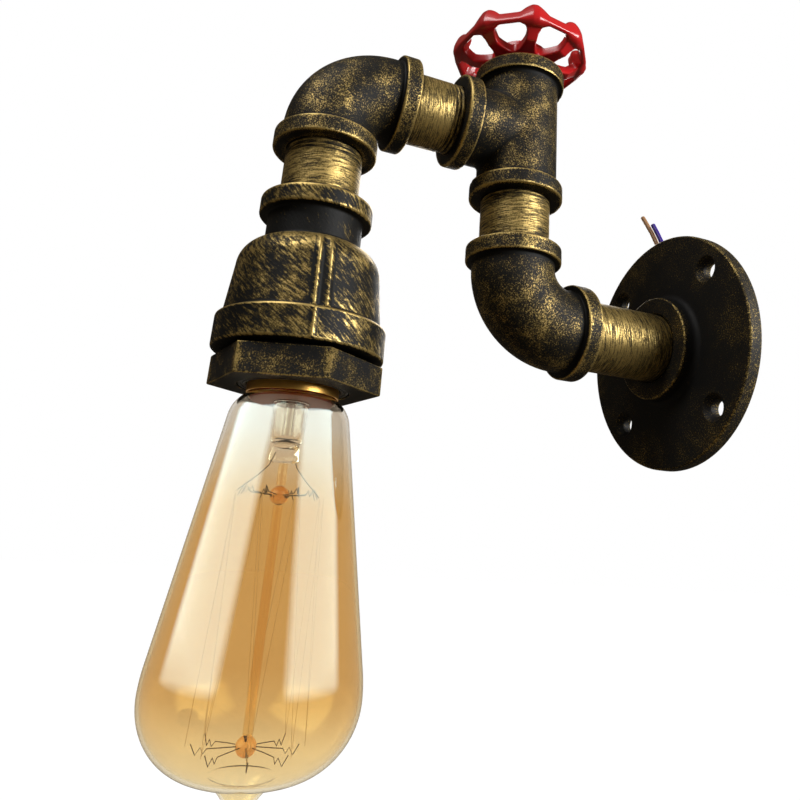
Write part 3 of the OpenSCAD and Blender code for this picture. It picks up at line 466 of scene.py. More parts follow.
def mark_wear(bm):
    """Keeps on each vertex how far its edges stand out, or stand in, for the rubbed finishes."""
    wear = bm.verts.layers.float.new("wear")
    for v in bm.verts:
        bends = [e.calc_face_angle_signed(0) for e in v.link_edges]
        most = max(bends, key=abs, default=0)
        v[wear] = max(-1, min(1, math.copysign(max(0, abs(most) - WEAR_START) / WEAR_SPAN, most)))


def piece(name, bm, finish, body, *nodes, smooth=40):
    """Makes a finished piece that rides on a body and stands for CAD nodes."""
    settle(bm)
    mark_wear(bm)
    obj = loose_object(bm, name)
    obj.data.shade_smooth()
    obj.data.set_sharp_from_angle(angle=math.radians(smooth))
    obj.data.materials.append(FINISHES[finish])
    even = obj.modifiers.new("Even normals", "WEIGHTED_NORMAL")
    even.keep_sharp = True
    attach(obj, body)
    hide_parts(*nodes)


def link_up(tree, target, sockets):
    """Gives each socket of a node a value, or a link from another socket."""
    for key, value in sockets.items():
        if isinstance(value, bpy.types.NodeSocket):
            tree.links.new(value, target.inputs[key])
        else:
            target.inputs[key].default_value = value


def add(tree, kind, sockets, **settings):
    """A new node in a tree."""
    made = tree.nodes.new(kind)
    for key, value in settings.items():
        setattr(made, key, value)
    link_up(tree, made, sockets)
    return made


def maths(tree, operation, *values):
    """The result of a sum on sockets and numbers."""
    return add(tree, "ShaderNodeMath", dict(enumerate(values)), operation=operation).outputs[0]


def noise(tree, place, scale, detail, roughness):
    """A noise that runs between 0 and 1."""
    sockets = {"Vector": place, "Scale": scale, "Detail": detail, "Roughness": roughness}
    return add(tree, "ShaderNodeTexNoise", sockets).outputs["Fac"]


def spread(tree, value, low, high, to_low=0.0, to_high=1.0):
    """Maps a value's range onto another."""
    sockets = {"Value": value, "From Min": low, "From Max": high, "To Min": to_low, "To Max": to_high}
    return add(tree, "ShaderNodeMapRange", sockets).outputs["Result"]


def solid(colour):
    """A colour with full alpha."""
    return (*colour, 1.0)


def ramp(tree, factor, stops):
    """Colour stops along a factor."""
    made = add(tree, "ShaderNodeValToRGB", {"Fac": factor})
    elements = made.color_ramp.elements
    while len(elements) < len(stops):
        elements.new(0.5)
    for element, (position, colour) in zip(elements, stops):
        element.position = position
        element.color = solid(colour)
    return made.outputs["Color"]


def material(name, sockets):
    """A material whose shader has some of its sockets set."""
    made = bpy.data.materials.new(name)
    made.use_nodes = True
    link_up(made.node_tree, made.node_tree.nodes["Principled BSDF"], sockets)
    return made


def plain(name, colour, **sockets):
    """A material of constants."""
    return material(name, {"Base Color": solid(colour), **sockets})


def rubbed(name, ground, stroke, *, turn=(0, 0, 0), lay=None, cover=0.5, band=0.1, patch=12 * MM,
           patch_gain=0.25, grain_gain=0.0, wear_gain=0.15, hollow_shade_gain=0.25, top_light_gain=0.0):
    """Dark metal with gold rubbed over it in flecks or strokes of a given size.

    More cover gives more gold, and a wider band a softer edge to it. The gains say how much patches, the
    casting's grain, worn edges, painted shade in hollows and between parts (which also stands for gold that
    rubbing misses there) and painted light from above on upper sides count.
    """
    tones = bpy.context.scene.pipe_light_tones
    made = material(name, {"Specular IOR Level": 0.2})
    tree = made.node_tree
    coords = add(tree, "ShaderNodeTexCoord", {}).outputs
    place = coords["Object"]
    along = add(tree, "ShaderNodeAttribute", {}, attribute_name=lay).outputs["Vector"] if lay else place
    strokes = add(tree, "ShaderNodeMapping", {"Vector": along, "Rotation": turn, "Scale": stroke},
                  vector_type="TEXTURE").outputs["Vector"]
    fleck = noise(tree, strokes, 1.0, 5.0, 0.7)
    cloud = noise(tree, place, 1 / patch, 3.0, 0.6)
    grain = noise(tree, place, 1 / GRAIN, 2.0, 0.6)
    wear = add(tree, "ShaderNodeAttribute", {}, attribute_name="wear").outputs["Fac"]
    # Ambient occlusion: painted shade in hollows and between parts, which also keeps the rubbed gold out of
    # them
    painted_hollow_shade = add(tree, "ShaderNodeAmbientOcclusion", {"Distance": SHADE_REACH}, samples=8).outputs["AO"]
    # Upward normals: painted light from above, more gold on upper sides
    painted_top_light = add(tree, "ShaderNodeSeparateXYZ", {"Vector": coords["Normal"]}).outputs["Z"]
    level = fleck
    for source, gain in ((cloud, patch_gain), (grain, grain_gain), (wear, wear_gain), (painted_hollow_shade, hollow_shade_gain),
                         (painted_top_light, top_light_gain)):
        level = maths(tree, "MULTIPLY_ADD", source, gain, level)
    edge = 1 - cover + hollow_shade_gain + patch_gain / 2 + grain_gain / 2
    mask = spread(tree, level, edge - band / 2, edge + band / 2)
    bump = add(tree, "ShaderNodeBump", {"Strength": 0.5, "Distance": 0.3 * MM, "Height": fleck})
    link_up(tree, tree.nodes["Principled BSDF"], {
        "Base Color": ramp(tree, mask, [(0.0, ground), (0.5, tones.deep_gold), (1.0, tones.gold)]),
        "Metallic": spread(tree, mask, 0.0, 1.0, 0.0, 0.9),
        "Roughness": spread(tree, mask, 0.0, 1.0, 0.55, 0.38),
        "Normal": bump.outputs["Normal"],
    })
    return made


def glass(name, colour):
    """Clear or tinted glass."""
    return plain(name, colour, **{"Transmission Weight": 1.0, "Roughness": 0.0, "IOR": 1.5})


def lustre(name, tones):
    """Amber glass that is paler near the cap and at the bottom."""
    made = glass(name, tones.amber)
    tree = made.node_tree
    place = add(tree, "ShaderNodeTexCoord", {}).outputs["Object"]
    height = add(tree, "ShaderNodeSeparateXYZ", {"Vector": place}).outputs["Z"]
    stops = [(0.0, tones.pale), (0.06, tones.pale), (0.3, tones.amber), (0.75, tones.amber),
             (0.95, tones.honey)]
    tint = ramp(tree, spread(tree, height, TINT_TOP, TINT_END), stops)
    link_up(tree, tree.nodes["Principled BSDF"], {"Base Color": tint})
    return made


def build_finishes(tones):
    """Every material, by name."""
    fine = (0.5 * MM, 0.5 * MM, 0.5 * MM)
    round_y = (5 * MM, 0.4 * MM, 5 * MM)
    round_z = (5 * MM, 5 * MM, 0.4 * MM)
    scratch = (4 * MM, 0.9 * MM, 1)
    slant = (0, 0, math.radians(-40))
    brushed = {"turn": (math.radians(6), 0, 0), "cover": 0.54, "band": 0.24, "patch": 8 * MM,
               "patch_gain": 0.35, "grain_gain": 0.3, "wear_gain": 0.06}
    # Each rubbed finish paints shade in its hollows and between parts; the reducer's also paints light from
    # above on its upper sides
    return {
        "casting": rubbed("rubbed_bronze", tones.soot, fine, cover=0.415, band=0.16, patch=8 * MM,
                          patch_gain=0.42, wear_gain=0.2),
        "pipe_y": rubbed("brushed_bronze_y", tones.soot, round_y, **brushed),
        "pipe_z": rubbed("brushed_bronze_z", tones.soot, round_z, **brushed),
        "reducer": rubbed("scratched_bronze", tones.soot, scratch, turn=slant, lay="lay", cover=0.41,
                          band=0.2, patch=10 * MM, patch_gain=0.6, grain_gain=0.3, wear_gain=0.25,
                          top_light_gain=0.2),
        "iron": rubbed("dark_iron", tones.iron, fine, cover=0.32, band=0.16, patch_gain=0.3, wear_gain=0.16,
                       hollow_shade_gain=0.1),
        "bush": rubbed("dark_bush", tones.iron, fine, cover=0.25, band=0.16, patch=6 * MM, patch_gain=0.5,
                       wear_gain=0.3, hollow_shade_gain=0.15),
        "red": plain("red_enamel", tones.red, Roughness=0.28, **{"Coat Weight": 0.3, "Coat Roughness": 0.1}),
        "brass": plain("brass", tones.brass, Metallic=1.0, Roughness=0.34),
        "steel": plain("steel", tones.steel, Metallic=1.0, Roughness=0.3),
        "phenolic": plain("black_phenolic", tones.phenolic, Roughness=0.4),
        "amber": lustre("amber_glass", tones),
        "clear": glass("clear_glass", tones.clear),
        "button": glass("button_glass", tones.button),
        "rod": glass("rod_glass", tones.rod),
        "flare": plain("flare", tones.flare, Roughness=0.3, **{"Specular IOR Level": 0.3}),
        "filament": plain("filament", tones.strand, Roughness=0.5),
        "hook": plain("hook_wire", tones.hook, Metallic=0.6, Roughness=0.4),
        "brown": plain("brown_sleeve", tones.brown, Roughness=0.4),
        "blue": plain("blue_sleeve", tones.blue, Roughness=0.4),
    }


class PIPELIGHT_OT_stage(bpy.types.Operator):
    """Sets up the camera, the soft lights, the white surroundings and the floor"""

    bl_idname = "pipe_light.stage"
    bl_label = "Stage"

    def execute(self, context):
        scene = context.scene
        studio = scene.pipe_light_studio
        tones = scene.pipe_light_tones
        scene.view_settings.view_transform = "Standard"
        self.camera(scene, studio)
        self.surroundings(scene, studio, tones)
        for name in SOFTBOXES:
            self.softbox(scene, name, getattr(studio, name + "_power"),
                         tones.cool if name in BULB_SOFTBOXES else WHITE)
        self.floor(studio, tones)
        return {"FINISHED"}

    def camera(self, scene, studio):
        """Puts the camera where the photograph was taken from."""
        level = math.cos(studio.pitch)
        right = Vector((math.cos(studio.heading), math.sin(studio.heading), 0))
        ahead = Vector((-right.y * level, right.x * level, math.sin(studio.pitch)))
        up = right.cross(ahead)
        across = right * math.cos(studio.roll) + up * math.sin(studio.roll)
        upright = up * math.cos(studio.roll) - right * math.sin(studio.roll)
        data = bpy.data.cameras.new("camera")
        data.lens = studio.lens
        data.shift_x, data.shift_y = studio.shift
        data.clip_start = 10 * MM
        obj = bpy.data.objects.new("camera", data)
        turn = Matrix((across, upright, -ahead)).transposed().to_4x4()
        obj.matrix_world = Matrix.Translation(studio.spot) @ turn
        scene.collection.objects.link(obj)
        scene.camera = obj

    def surroundings(self, scene, studio, tones):
        """Makes them white to the camera, also through glass, and a dim warm light otherwise."""
        world = bpy.data.worlds.new("studio")
        world.use_nodes = True
        tree = world.node_tree
        rays = add(tree, "ShaderNodeLightPath", {}).outputs
        seen = maths(tree, "MAXIMUM", rays["Is Camera Ray"], rays["Is Transmission Ray"])
        polished = spread(tree, rays["Is Singular Ray"], 0.0, 1.0, studio.fill, studio.sheen)
        link_up(tree, tree.nodes["Background"], {
            "Color": ramp(tree, seen, [(0.0, tones.warmth), (1.0, WHITE)]),
            "Strength": maths(tree, "MAXIMUM", seen, polished),
        })
        scene.world = world

    def softbox(self, scene, name, watts, colour):
        """Hangs a softbox that faces the light."""
        spot, extent = SOFTBOXES[name]
        data = bpy.data.lights.new("softbox_" + name, "AREA")
        data.shape = "RECTANGLE"
        data.size, data.size_y = extent
        data.energy = watts
        data.color = colour
        self.fade_edges(data)
        obj = bpy.data.objects.new("softbox_" + name, data)
        obj.location = spot
        obj.rotation_euler = (SOFTBOX_TARGET - Vector(spot)).to_track_quat("-Z", "Y").to_euler()
        obj.visible_camera = False
        scene.collection.objects.link(obj)

    def fade_edges(self, data):
        """Lets a softbox fade towards its edges, as its cloth does."""
        data.use_nodes = True
        tree = data.node_tree
        across = add(tree, "ShaderNodeNewGeometry", {}).outputs["Parametric"]
        sides = add(tree, "ShaderNodeSeparateXYZ", {"Vector": across}).outputs
        strength = 1.0
        for side in ("X", "Y"):
            for edge, inner in ((0.0, SOFTBOX_FADE), (1.0, 1.0 - SOFTBOX_FADE)):
                strength = maths(tree, "MULTIPLY", spread(tree, sides[side], edge, inner), strength)
        link_up(tree, tree.nodes["Emission"], {"Strength": strength})

    def floor(self, studio, tones):
        """Lays a floor that is white to the camera and casts no light on the metal."""
        bm = bmesh.new()
        bmesh.ops.create_grid(bm, x_segments=1, y_segments=1, size=FLOOR_HALF)
        obj = loose_object(moved(bm, Matrix.Translation((0, 0, studio.floor_z))), "floor")
        glow = {"Emission Color": solid(WHITE), "Emission Strength": 1.0}
        obj.data.materials.append(plain("floor", tones.floor, Roughness=1.0, **glow))
        obj.visible_diffuse = False
        obj.visible_glossy = False
        obj.visible_shadow = False


class PIPELIGHT_OT_finishes(bpy.types.Operator):
    """Makes the materials"""

    bl_idname = "pipe_light.finishes"
    bl_label = "Finishes"

    def execute(self, context):
        FINISHES.update(build_finishes(context.scene.pipe_light_tones))
        return {"FINISHED"}


class PIPELIGHT_OT_leads(bpy.types.Operator):
    """Makes the two supply leads that come out behind the flange"""

    bl_idname = "pipe_light.leads"
    bl_label = "Leads"

    def execute(self, context):
        self.lead("live_sleeve", LIVE_ROUTE, "brown", "live_lead")
        self.lead("neutral_sleeve", NEUTRAL_ROUTE, "blue", "neutral_lead")
        return {"FINISHED"}

    def lead(self, name, route, finish, node):
        """Round lead along a route in millimetres."""
        points = [Vector(p) * MM for p in route]
        curve = bpy.data.curves.new(name, "CURVE")
        curve.dimensions = "3D"
        curve.bevel_depth = LEAD_R
        curve.bevel_resolution = 5
        curve.use_fill_caps = True
        line = curve.splines.new("POLY")
        line.points.add(len(points) - 1)
        for point, place in zip(line.points, points):
            point.co = (*place, 1)
        curve.materials.append(FINISHES[finish])
        obj = bpy.data.objects.new(name, curve)
        bpy.context.scene.collection.objects.link(obj)
        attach(obj, "base")
        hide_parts(node)


class PIPELIGHT_OT_flange(bpy.types.Operator):
    """Makes the wall flange with its hub and countersunk holes"""

    bl_idname = "pipe_light.flange"
    bl_label = "Flange"

    def execute(self, context):
        sizes = context.scene.pipe_light_flange
        bore_r = context.scene.pipe_light_pipes.socket_r
        foot = (sizes.hub_r + sizes.fillet, sizes.plate_t + sizes.fillet)
        outline = [(bore_r, 0), (sizes.flange_r, 0), (sizes.flange_r, sizes.plate_t)]
        outline += arc(foot, sizes.fillet, -math.pi / 2, -math.pi, 8)
        outline += [(sizes.hub_r, sizes.hub_h), (bore_r, sizes.hub_h)]
        plate = soften(turned(outline, 160), CAST_EDGE)
        plate = bored(plate, joined([self.hole(sizes, i) for i in range(sizes.holes)]))
        past_hub = 1.2 * sizes.hub_r
        soften(plate, CUT_EDGE, segments=2, limit=30,
               where=lambda e: all(math.hypot(v.co.x, v.co.y) > past_hub for v in e.verts))
        piece("flange_casting", moved(plate, TO_MINUS_Y), "iron", "base", "wall_flange")
        return {"FINISHED"}

    def hole(self, sizes, i):
        """Plug in the shape of a countersunk hole."""
        lip = 3 * MM
        sink = sizes.plate_t - (sizes.sink_r - sizes.hole_r)
        top = sizes.plate_t + lip
        outline = [(0, -lip), (sizes.hole_r, -lip), (sizes.hole_r, sink), (sizes.sink_r, sizes.plate_t),
                   (sizes.sink_r, top), (0, top)]
        turn = Matrix.Rotation(math.tau * (i + 0.5) / sizes.holes, 4, "Z")
        return moved(turned(outline, 48), turn @ Matrix.Translation((sizes.circle_r, 0, 0)))


class PIPELIGHT_OT_nipples(bpy.types.Operator):
    """Makes the four pipe nipples, with the thread that shows beside a fitting"""

    bl_idname = "pipe_light.nipples"
    bl_label = "Nipples"

    def execute(self, context):
        pipes = context.scene.pipe_light_pipes
        hub_h = context.scene.pipe_light_flange.hub_h
        head_top = context.scene.pipe_light_head.top
        tee_y = pipes.wall_reach + pipes.reach
        elbow_y = pipes.wall_reach + pipes.arm_reach - pipes.reach
        mouth_z = pipes.arm_height - pipes.reach
        arm = Matrix.Translation((0, 0, pipes.arm_height)) @ TO_MINUS_Y
        wall_y = pipes.wall_reach - pipes.reach
        riser = riser_axis(pipes)
        drop = drop_axis(pipes)
        nipples = (
            ("wall_pipe", (hub_h, 0), (wall_y, 1), TO_MINUS_Y, "pipe_y", "base", "wall_nipple"),
            ("riser_pipe", (pipes.reach, 0), (mouth_z, 1), riser, "pipe_z", "base", "riser_nipple"),
            ("arm_pipe", (tee_y, 2), (elbow_y, 0), arm, "pipe_y", "arm", "arm_nipple"),
            ("drop_pipe", (head_top, 0), (mouth_z, 2), drop, "pipe_z", "head", "drop_nipple"),
        )
        for name, low, high, place, finish, body, node in nipples:
            piece(name, moved(self.nipple(pipes, low, high), place), finish, body, node)
        return {"FINISHED"}

    def nipple(self, pipes, low, high):
        """Pipe between two mouths, each given with the turns of thread that show beside it."""
        low_end = self.threaded_end(pipes, *low, 1)
        high_end = self.threaded_end(pipes, *high, -1)
        outline = low_end[:-1] + evenly(low_end[-1], high_end[-1], PIPE_STEP) + high_end[-2::-1]
        return soften(turned(outline, 96), THREAD_EDGE, segments=2)

    def threaded_end(self, pipes, mouth, turns, side):
        """Outline from the bore to the plain pipe, past a mouth and its thread."""
        root = pipes.pipe_r - pipes.thread_depth
        hidden = mouth - side * pipes.engage
        pitch = side * pipes.thread_pitch
        points = [(pipes.bore_r, hidden), (root, hidden)]
        for i in range(turns):
            points += [(root, mouth + i * pitch), (pipes.pipe_r, mouth + (i + 0.5) * pitch)]
        last = turns or -0.5
        run_out = 0.3 * bool(turns)
        return points + [(root, mouth + last * pitch), (pipes.pipe_r, mouth + (turns + run_out) * pitch)]


class PIPELIGHT_OT_elbows(bpy.types.Operator):
    """Makes the two cast elbows"""

    bl_idname = "pipe_light.elbows"
    bl_label = "Elbows"

    def execute(self, context):
        pipes = context.scene.pipe_light_pipes
        lower = riser_axis(pipes) @ Matrix.Rotation(math.pi, 4, "Z")
        upper = drop_axis(pipes) @ Matrix.Translation((0, 0, pipes.arm_height)) @ TO_MINUS_Z
        piece("lower_elbow_casting", moved(self.elbow(pipes), lower), "casting", "base", "lower_elbow")
        piece("upper_elbow_casting", moved(self.elbow(pipes), upper), "casting", "head", "upper_elbow")
        return {"FINISHED"}

    def elbow(self, pipes):
        """Bend with a bead round each mouth."""
        straight = pipes.reach - pipes.bend_r
        bend = pipes.bend_r * math.pi / 2
        total = 2 * straight + bend
        ledge = 0.1 * MM
        steps = 30
        turns = [straight + bend * i / steps for i in range(steps + 1)]
        mouth = [(0, pipes.socket_r), (0, 0.5 * (pipes.socket_r + pipes.bead_r))]
        mouth += evenly((0, pipes.bead_r), (pipes.bead_w, pipes.bead_r), BEAD_STEP)
        mouth.append((pipes.bead_w, pipes.body_r))
        outline = mouth + [(t, pipes.body_r) for t in turns] + [(total - t, r) for t, r in reversed(mouth)]
        outline.append((total - straight + ledge, pipes.socket_r))
        outline += [(t, pipes.bore_r) for t in reversed(turns)]
        outline.append((straight - ledge, pipes.socket_r))
        bm = lofted([self.station(pipes, straight, *p) for p in outline], 96, loop=True)
        return soften(bm, pipes.bead_edge, where=lambda e: self.outside(pipes, e))

    def outside(self, pipes, edge):
        """Whether an edge is on the outside of a mouth."""
        for v in edge.verts:
            from_axis = math.hypot(v.co.x, v.co.y if v.co.z > pipes.bend_r else v.co.z)
            if from_axis < 0.5 * (pipes.socket_r + pipes.body_r):
                return False
        return True

    def station(self, pipes, straight, along, radius):
        """Place, turn and radius of a ring at a distance along the elbow."""
        bend = pipes.bend_r * math.pi / 2
        turn = max(0.0, min(1.0, (along - straight) / bend)) * math.pi / 2
        before = max(0.0, straight - along)
        after = max(0.0, along - straight - bend)
        place = (0, -pipes.bend_r * (1 - math.cos(turn)) - after,
                 pipes.bend_r * (1 - math.sin(turn)) + before)
        return (Matrix.Translation(place) @ Matrix.Rotation(math.pi - turn, 4, "X")
                @ Matrix.Diagonal((radius, radius, radius, 1)))


class PIPELIGHT_OT_tee(bpy.types.Operator):
    """Makes the cast tee, with a soft corner between its run and its branch"""

    bl_idname = "pipe_light.tee"
    bl_label = "Tee"

    def execute(self, context):
        pipes = context.scene.pipe_light_pipes
        top = [(0, pipes.reach)]
        upper = self.leg(pipes, pipes.body_r, 1)[::-1]
        run = [(0, -pipes.reach)] + self.leg(pipes, pipes.body_r, -1) + upper + top
        branch = [(0, 0), (pipes.branch_r, 0)] + self.leg(pipes, pipes.branch_r, 1)[::-1] + top
        body = cast(joined([turned(run, 96), moved(turned(branch, 96), TO_MINUS_Y)]), TEE_VOXEL)
        for turn in (Matrix.Identity(4), TO_MINUS_Z, TO_MINUS_Y):
            body = bored(body, moved(self.bore(pipes), turn))
        place = riser_axis(pipes) @ Matrix.Translation((0, 0, pipes.arm_height))
        piece("tee_casting", moved(body, place), "casting", "arm", "tee")
        return {"FINISHED"}

    def leg(self, pipes, radius, side):
        """Outline of a leg from its mouth to the body."""
        inner = pipes.reach - pipes.bead_w
        return [(pipes.bead_r, side * pipes.reach), (pipes.bead_r, side * inner), (radius, side * inner)]

    def bore(self, pipes):
        """Plug in the shape of a leg's bore and its mouth."""
        spare = 2 * MM
        seat = pipes.reach - pipes.engage - SEAT_ROOM
        end = pipes.reach + spare
        return turned([(0, -spare), (pipes.bore_r, -spare), (pipes.bore_r, seat), (pipes.socket_r, seat),
                       (pipes.socket_r, end), (0, end)], 96)


class PIPELIGHT_OT_reducer(bpy.types.Operator):
    """Makes the bell reducer with its cast ribs and parting line"""

    bl_idname = "pipe_light.reducer"
    bl_label = "Reducer"

    # Place across the casting and half width of the two ribs and of the parting line, the length over which
    # the ribs fade, and what both leave free beside an edge
    RIBS = ((-1.9 * MM, 1.6 * MM), (1.7 * MM, 1.9 * MM))
    PARTING_LINE = (-1.6 * MM, 1.2 * MM)
    RIB_FADE = 2.5 * MM
    RIB_FREE = 0.4 * MM
    LINE_FREE = 0.6 * MM

    def execute(self, context):
        head = context.scene.pipe_light_head
        pipes = context.scene.pipe_light_pipes
        end = head.top - head.length
        band = end + head.band_h
        neck_top = head.top - head.bead_h
        seat = head.top - pipes.engage - SEAT_ROOM
        centre = (head.bell_r - head.shoulder_r, neck_top - head.neck_h - head.shoulder_r)
        shoulder = arc(centre, head.shoulder_r, math.acos((head.neck_r - centre[0]) / head.shoulder_r), 0, 16)
        outline = evenly((pipes.socket_r, head.top), (head.bead_r, head.top), PIPE_STEP)
        outline += evenly((head.bead_r, head.top), (head.bead_r, neck_top), BEAD_STEP)[1:]
        outline += [(head.neck_r, neck_top)] + shoulder
        outline += evenly(shoulder[-1], (head.foot_r, band), BELL_STEP)[1:]
        outline += evenly((head.band_r, band), (head.band_r, end), BELL_STEP)
        outline += [(head.thread_r, end), (head.thread_r, band), (pipes.bore_r, centre[1]),
                    (pipes.bore_r, seat), (pipes.socket_r, seat)]
        bm = soften(turned(outline, 480), pipes.bead_edge)
        lay = bm.verts.layers.float_vector.new("lay")
        for v in bm.verts:
            v[lay] = (math.atan2(v.co.y, v.co.x) * head.bell_r, v.co.z, 0)
            self.raise_ribs(head, v, band, end, shoulder[0][1])
        piece("reducer_casting", moved(bm, drop_axis(pipes)), "reducer", "head", "bell_reducer", smooth=60)
        return {"FINISHED"}

    def raise_ribs(self, head, v, band, end, top):
        """Moves a vertex outwards where it lies on a rib or on the parting line."""
        r = math.hypot(v.co.x, v.co.y)
        across = math.atan2(v.co.y, abs(v.co.x)) * head.bell_r * (1 if v.co.x > 0 else -1)
        stand = 0.0
        if band + self.RIB_FREE < v.co.z < top and r > head.neck_r + 0.5 * self.RIB_FREE:
            fade = min(1.0, (top - v.co.z) / self.RIB_FADE)
            stand = head.rib_stand * fade * max(self.ridge(across, *rib) for rib in self.RIBS)
        elif end + self.LINE_FREE < v.co.z < band - self.LINE_FREE and r > head.band_r - self.LINE_FREE:
            stand = head.line_stand * self.ridge(across, *self.PARTING_LINE)
        v.co.x *= (r + stand) / r
        v.co.y *= (r + stand) / r

    def ridge(self, across, middle, half):
        """Height of a ridge's round section."""
        return math.cos(min(1.0, abs(across - middle) / half) * math.pi / 2) ** 2


class PIPELIGHT_OT_bush(bpy.types.Operator):
    """Makes the hexagonal bush and the lampholder's face inside it"""

    bl_idname = "pipe_light.bush"
    bl_label = "Bush"

    def execute(self, context):
        head = context.scene.pipe_light_head
        place = drop_axis(context.scene.pipe_light_pipes)
        piece("hexagon_bush", moved(self.hexagon(head), place), "bush", "head", "hex_bush")
        piece("holder_body", moved(self.holder(head), place), "phenolic", "head", "lampholder_body")
        return {"FINISHED"}

    def hexagon(self, head):
        """Threaded ring with its lower part drawn out to six corners."""
        corner = math.pi / 6
        flat = head.hex_r * math.cos(corner)
        play = 0.1 * MM
        crest = head.thread_r - play
        middle = 0.5 * (head.hole_r + flat)
        outline = [(head.hole_r, head.hex_end), (middle, head.hex_end), (flat, head.hex_end),
                   (flat, head.hex_top), (crest, head.hex_top), (crest, head.bush_top),
                   (head.hole_r, head.bush_top)]
        bm = turned(outline, 120)
        for v in bm.verts:
            if math.hypot(v.co.x, v.co.y) > 0.5 * (middle + flat):
                turn = math.atan2(v.co.y, v.co.x) % (2 * corner) - corner
                v.co.x /= math.cos(turn)
                v.co.y /= math.cos(turn)
        soften(bm, HEXAGON_EDGE, limit=25)
        return moved(bm, Matrix.Rotation(head.hex_turn, 4, "Z"))

    def holder(self, head):
        """Lampholder's body: a well for the cap, a grooved face, and a collar that rests on the bush."""
        face = head.hex_end + 0.4 * MM
        collar = head.bush_top + 3 * MM
        well_r = 14.03 * MM
        well_top = -10.6 * MM
        sleeve_r = 17.2 * MM
        collar_r = 20.3 * MM
        cup_r = 15.2 * MM
        outline = [(0, well_top), (well_r, well_top), (well_r, face + 1.2 * MM)]
        groove = [(15.8, 0), (15.9, 0.5), (16.3, 0.5), (16.4, 0)]
        outline += drawn([(14.7, 1.2), (14.7, 0.6), (15.2, 0)] + groove, face)
        outline += [(sleeve_r, face), (sleeve_r, head.bush_top), (collar_r, head.bush_top),
                    (collar_r, collar), (cup_r, collar), (cup_r, 0), (0, 0)]
        return soften(turned(outline, 96), THREAD_EDGE, segments=2)


class PIPELIGHT_OT_switch(bpy.types.Operator):
    """Makes the plug in the tee's top mouth, the nut and washer on it, and the wheel's screw"""

    bl_idname = "pipe_light.switch"
    bl_label = "Switch"

    def execute(self, context):
        pipes = context.scene.pipe_light_pipes
        wheel = context.scene.pipe_light_wheel
        place = riser_axis(pipes)
        neck_r = 4.85 * MM
        nut_r = 8.5 * MM
        top = pipes.arm_height + pipes.reach
        low = top - pipes.engage
        rim = top + 0.8 * MM
        seat = rim + 0.6 * MM
        end = seat + 1.9 * MM
        plug = [(neck_r, low), (pipes.pipe_r, low), (pipes.pipe_r, top), (pipes.body_r, top),
                (pipes.body_r, rim), (neck_r, rim)]
        bm = soften(turned(plug, 96), CUT_EDGE)
        piece("plug_cap", moved(bm, place), "iron", "arm", "tee_plug")
        bm = soften(turned(ring(neck_r, nut_r, rim, seat), 64), SHEET_EDGE, segments=2)
        piece("washer_disc", moved(bm, place), "steel", "arm", "switch_washer")
        bm = soften(turned(ring(neck_r, nut_r, seat, end), 6), CUT_EDGE, segments=2)
        piece("lock_nut", moved(bm, place), "steel", "arm", "switch_locknut", smooth=25)
        play = 0.05 * MM
        bm = self.screw(wheel.base + wheel.hub_h + play)
        piece("hub_screw", moved(bm, place), "steel", "wheel", "wheel_screw")
        return {"FINISHED"}

    def screw(self, seat):
        """Slotted screw whose head rests on a seat."""
        shank = [(0, -5.5), (1.6, -5.5), (1.6, 0)]
        outline = drawn(shank + [(4.2, 0), (4.2, 1.1), (3.4, 1.8), (1.8, 2), (0, 2)], seat)
        slot = bmesh.new()
        bmesh.ops.create_cube(slot, size=1)
        extent = Matrix.Diagonal((1.2 * MM, 12 * MM, 1.8 * MM, 1))
        moved(slot, Matrix.Translation((0, 0, outline[-1][1])) @ Matrix.Rotation(0.6, 4, "Z") @ extent)
        return bored(soften(turned(outline, 48), SHEET_EDGE, segments=2), slot)


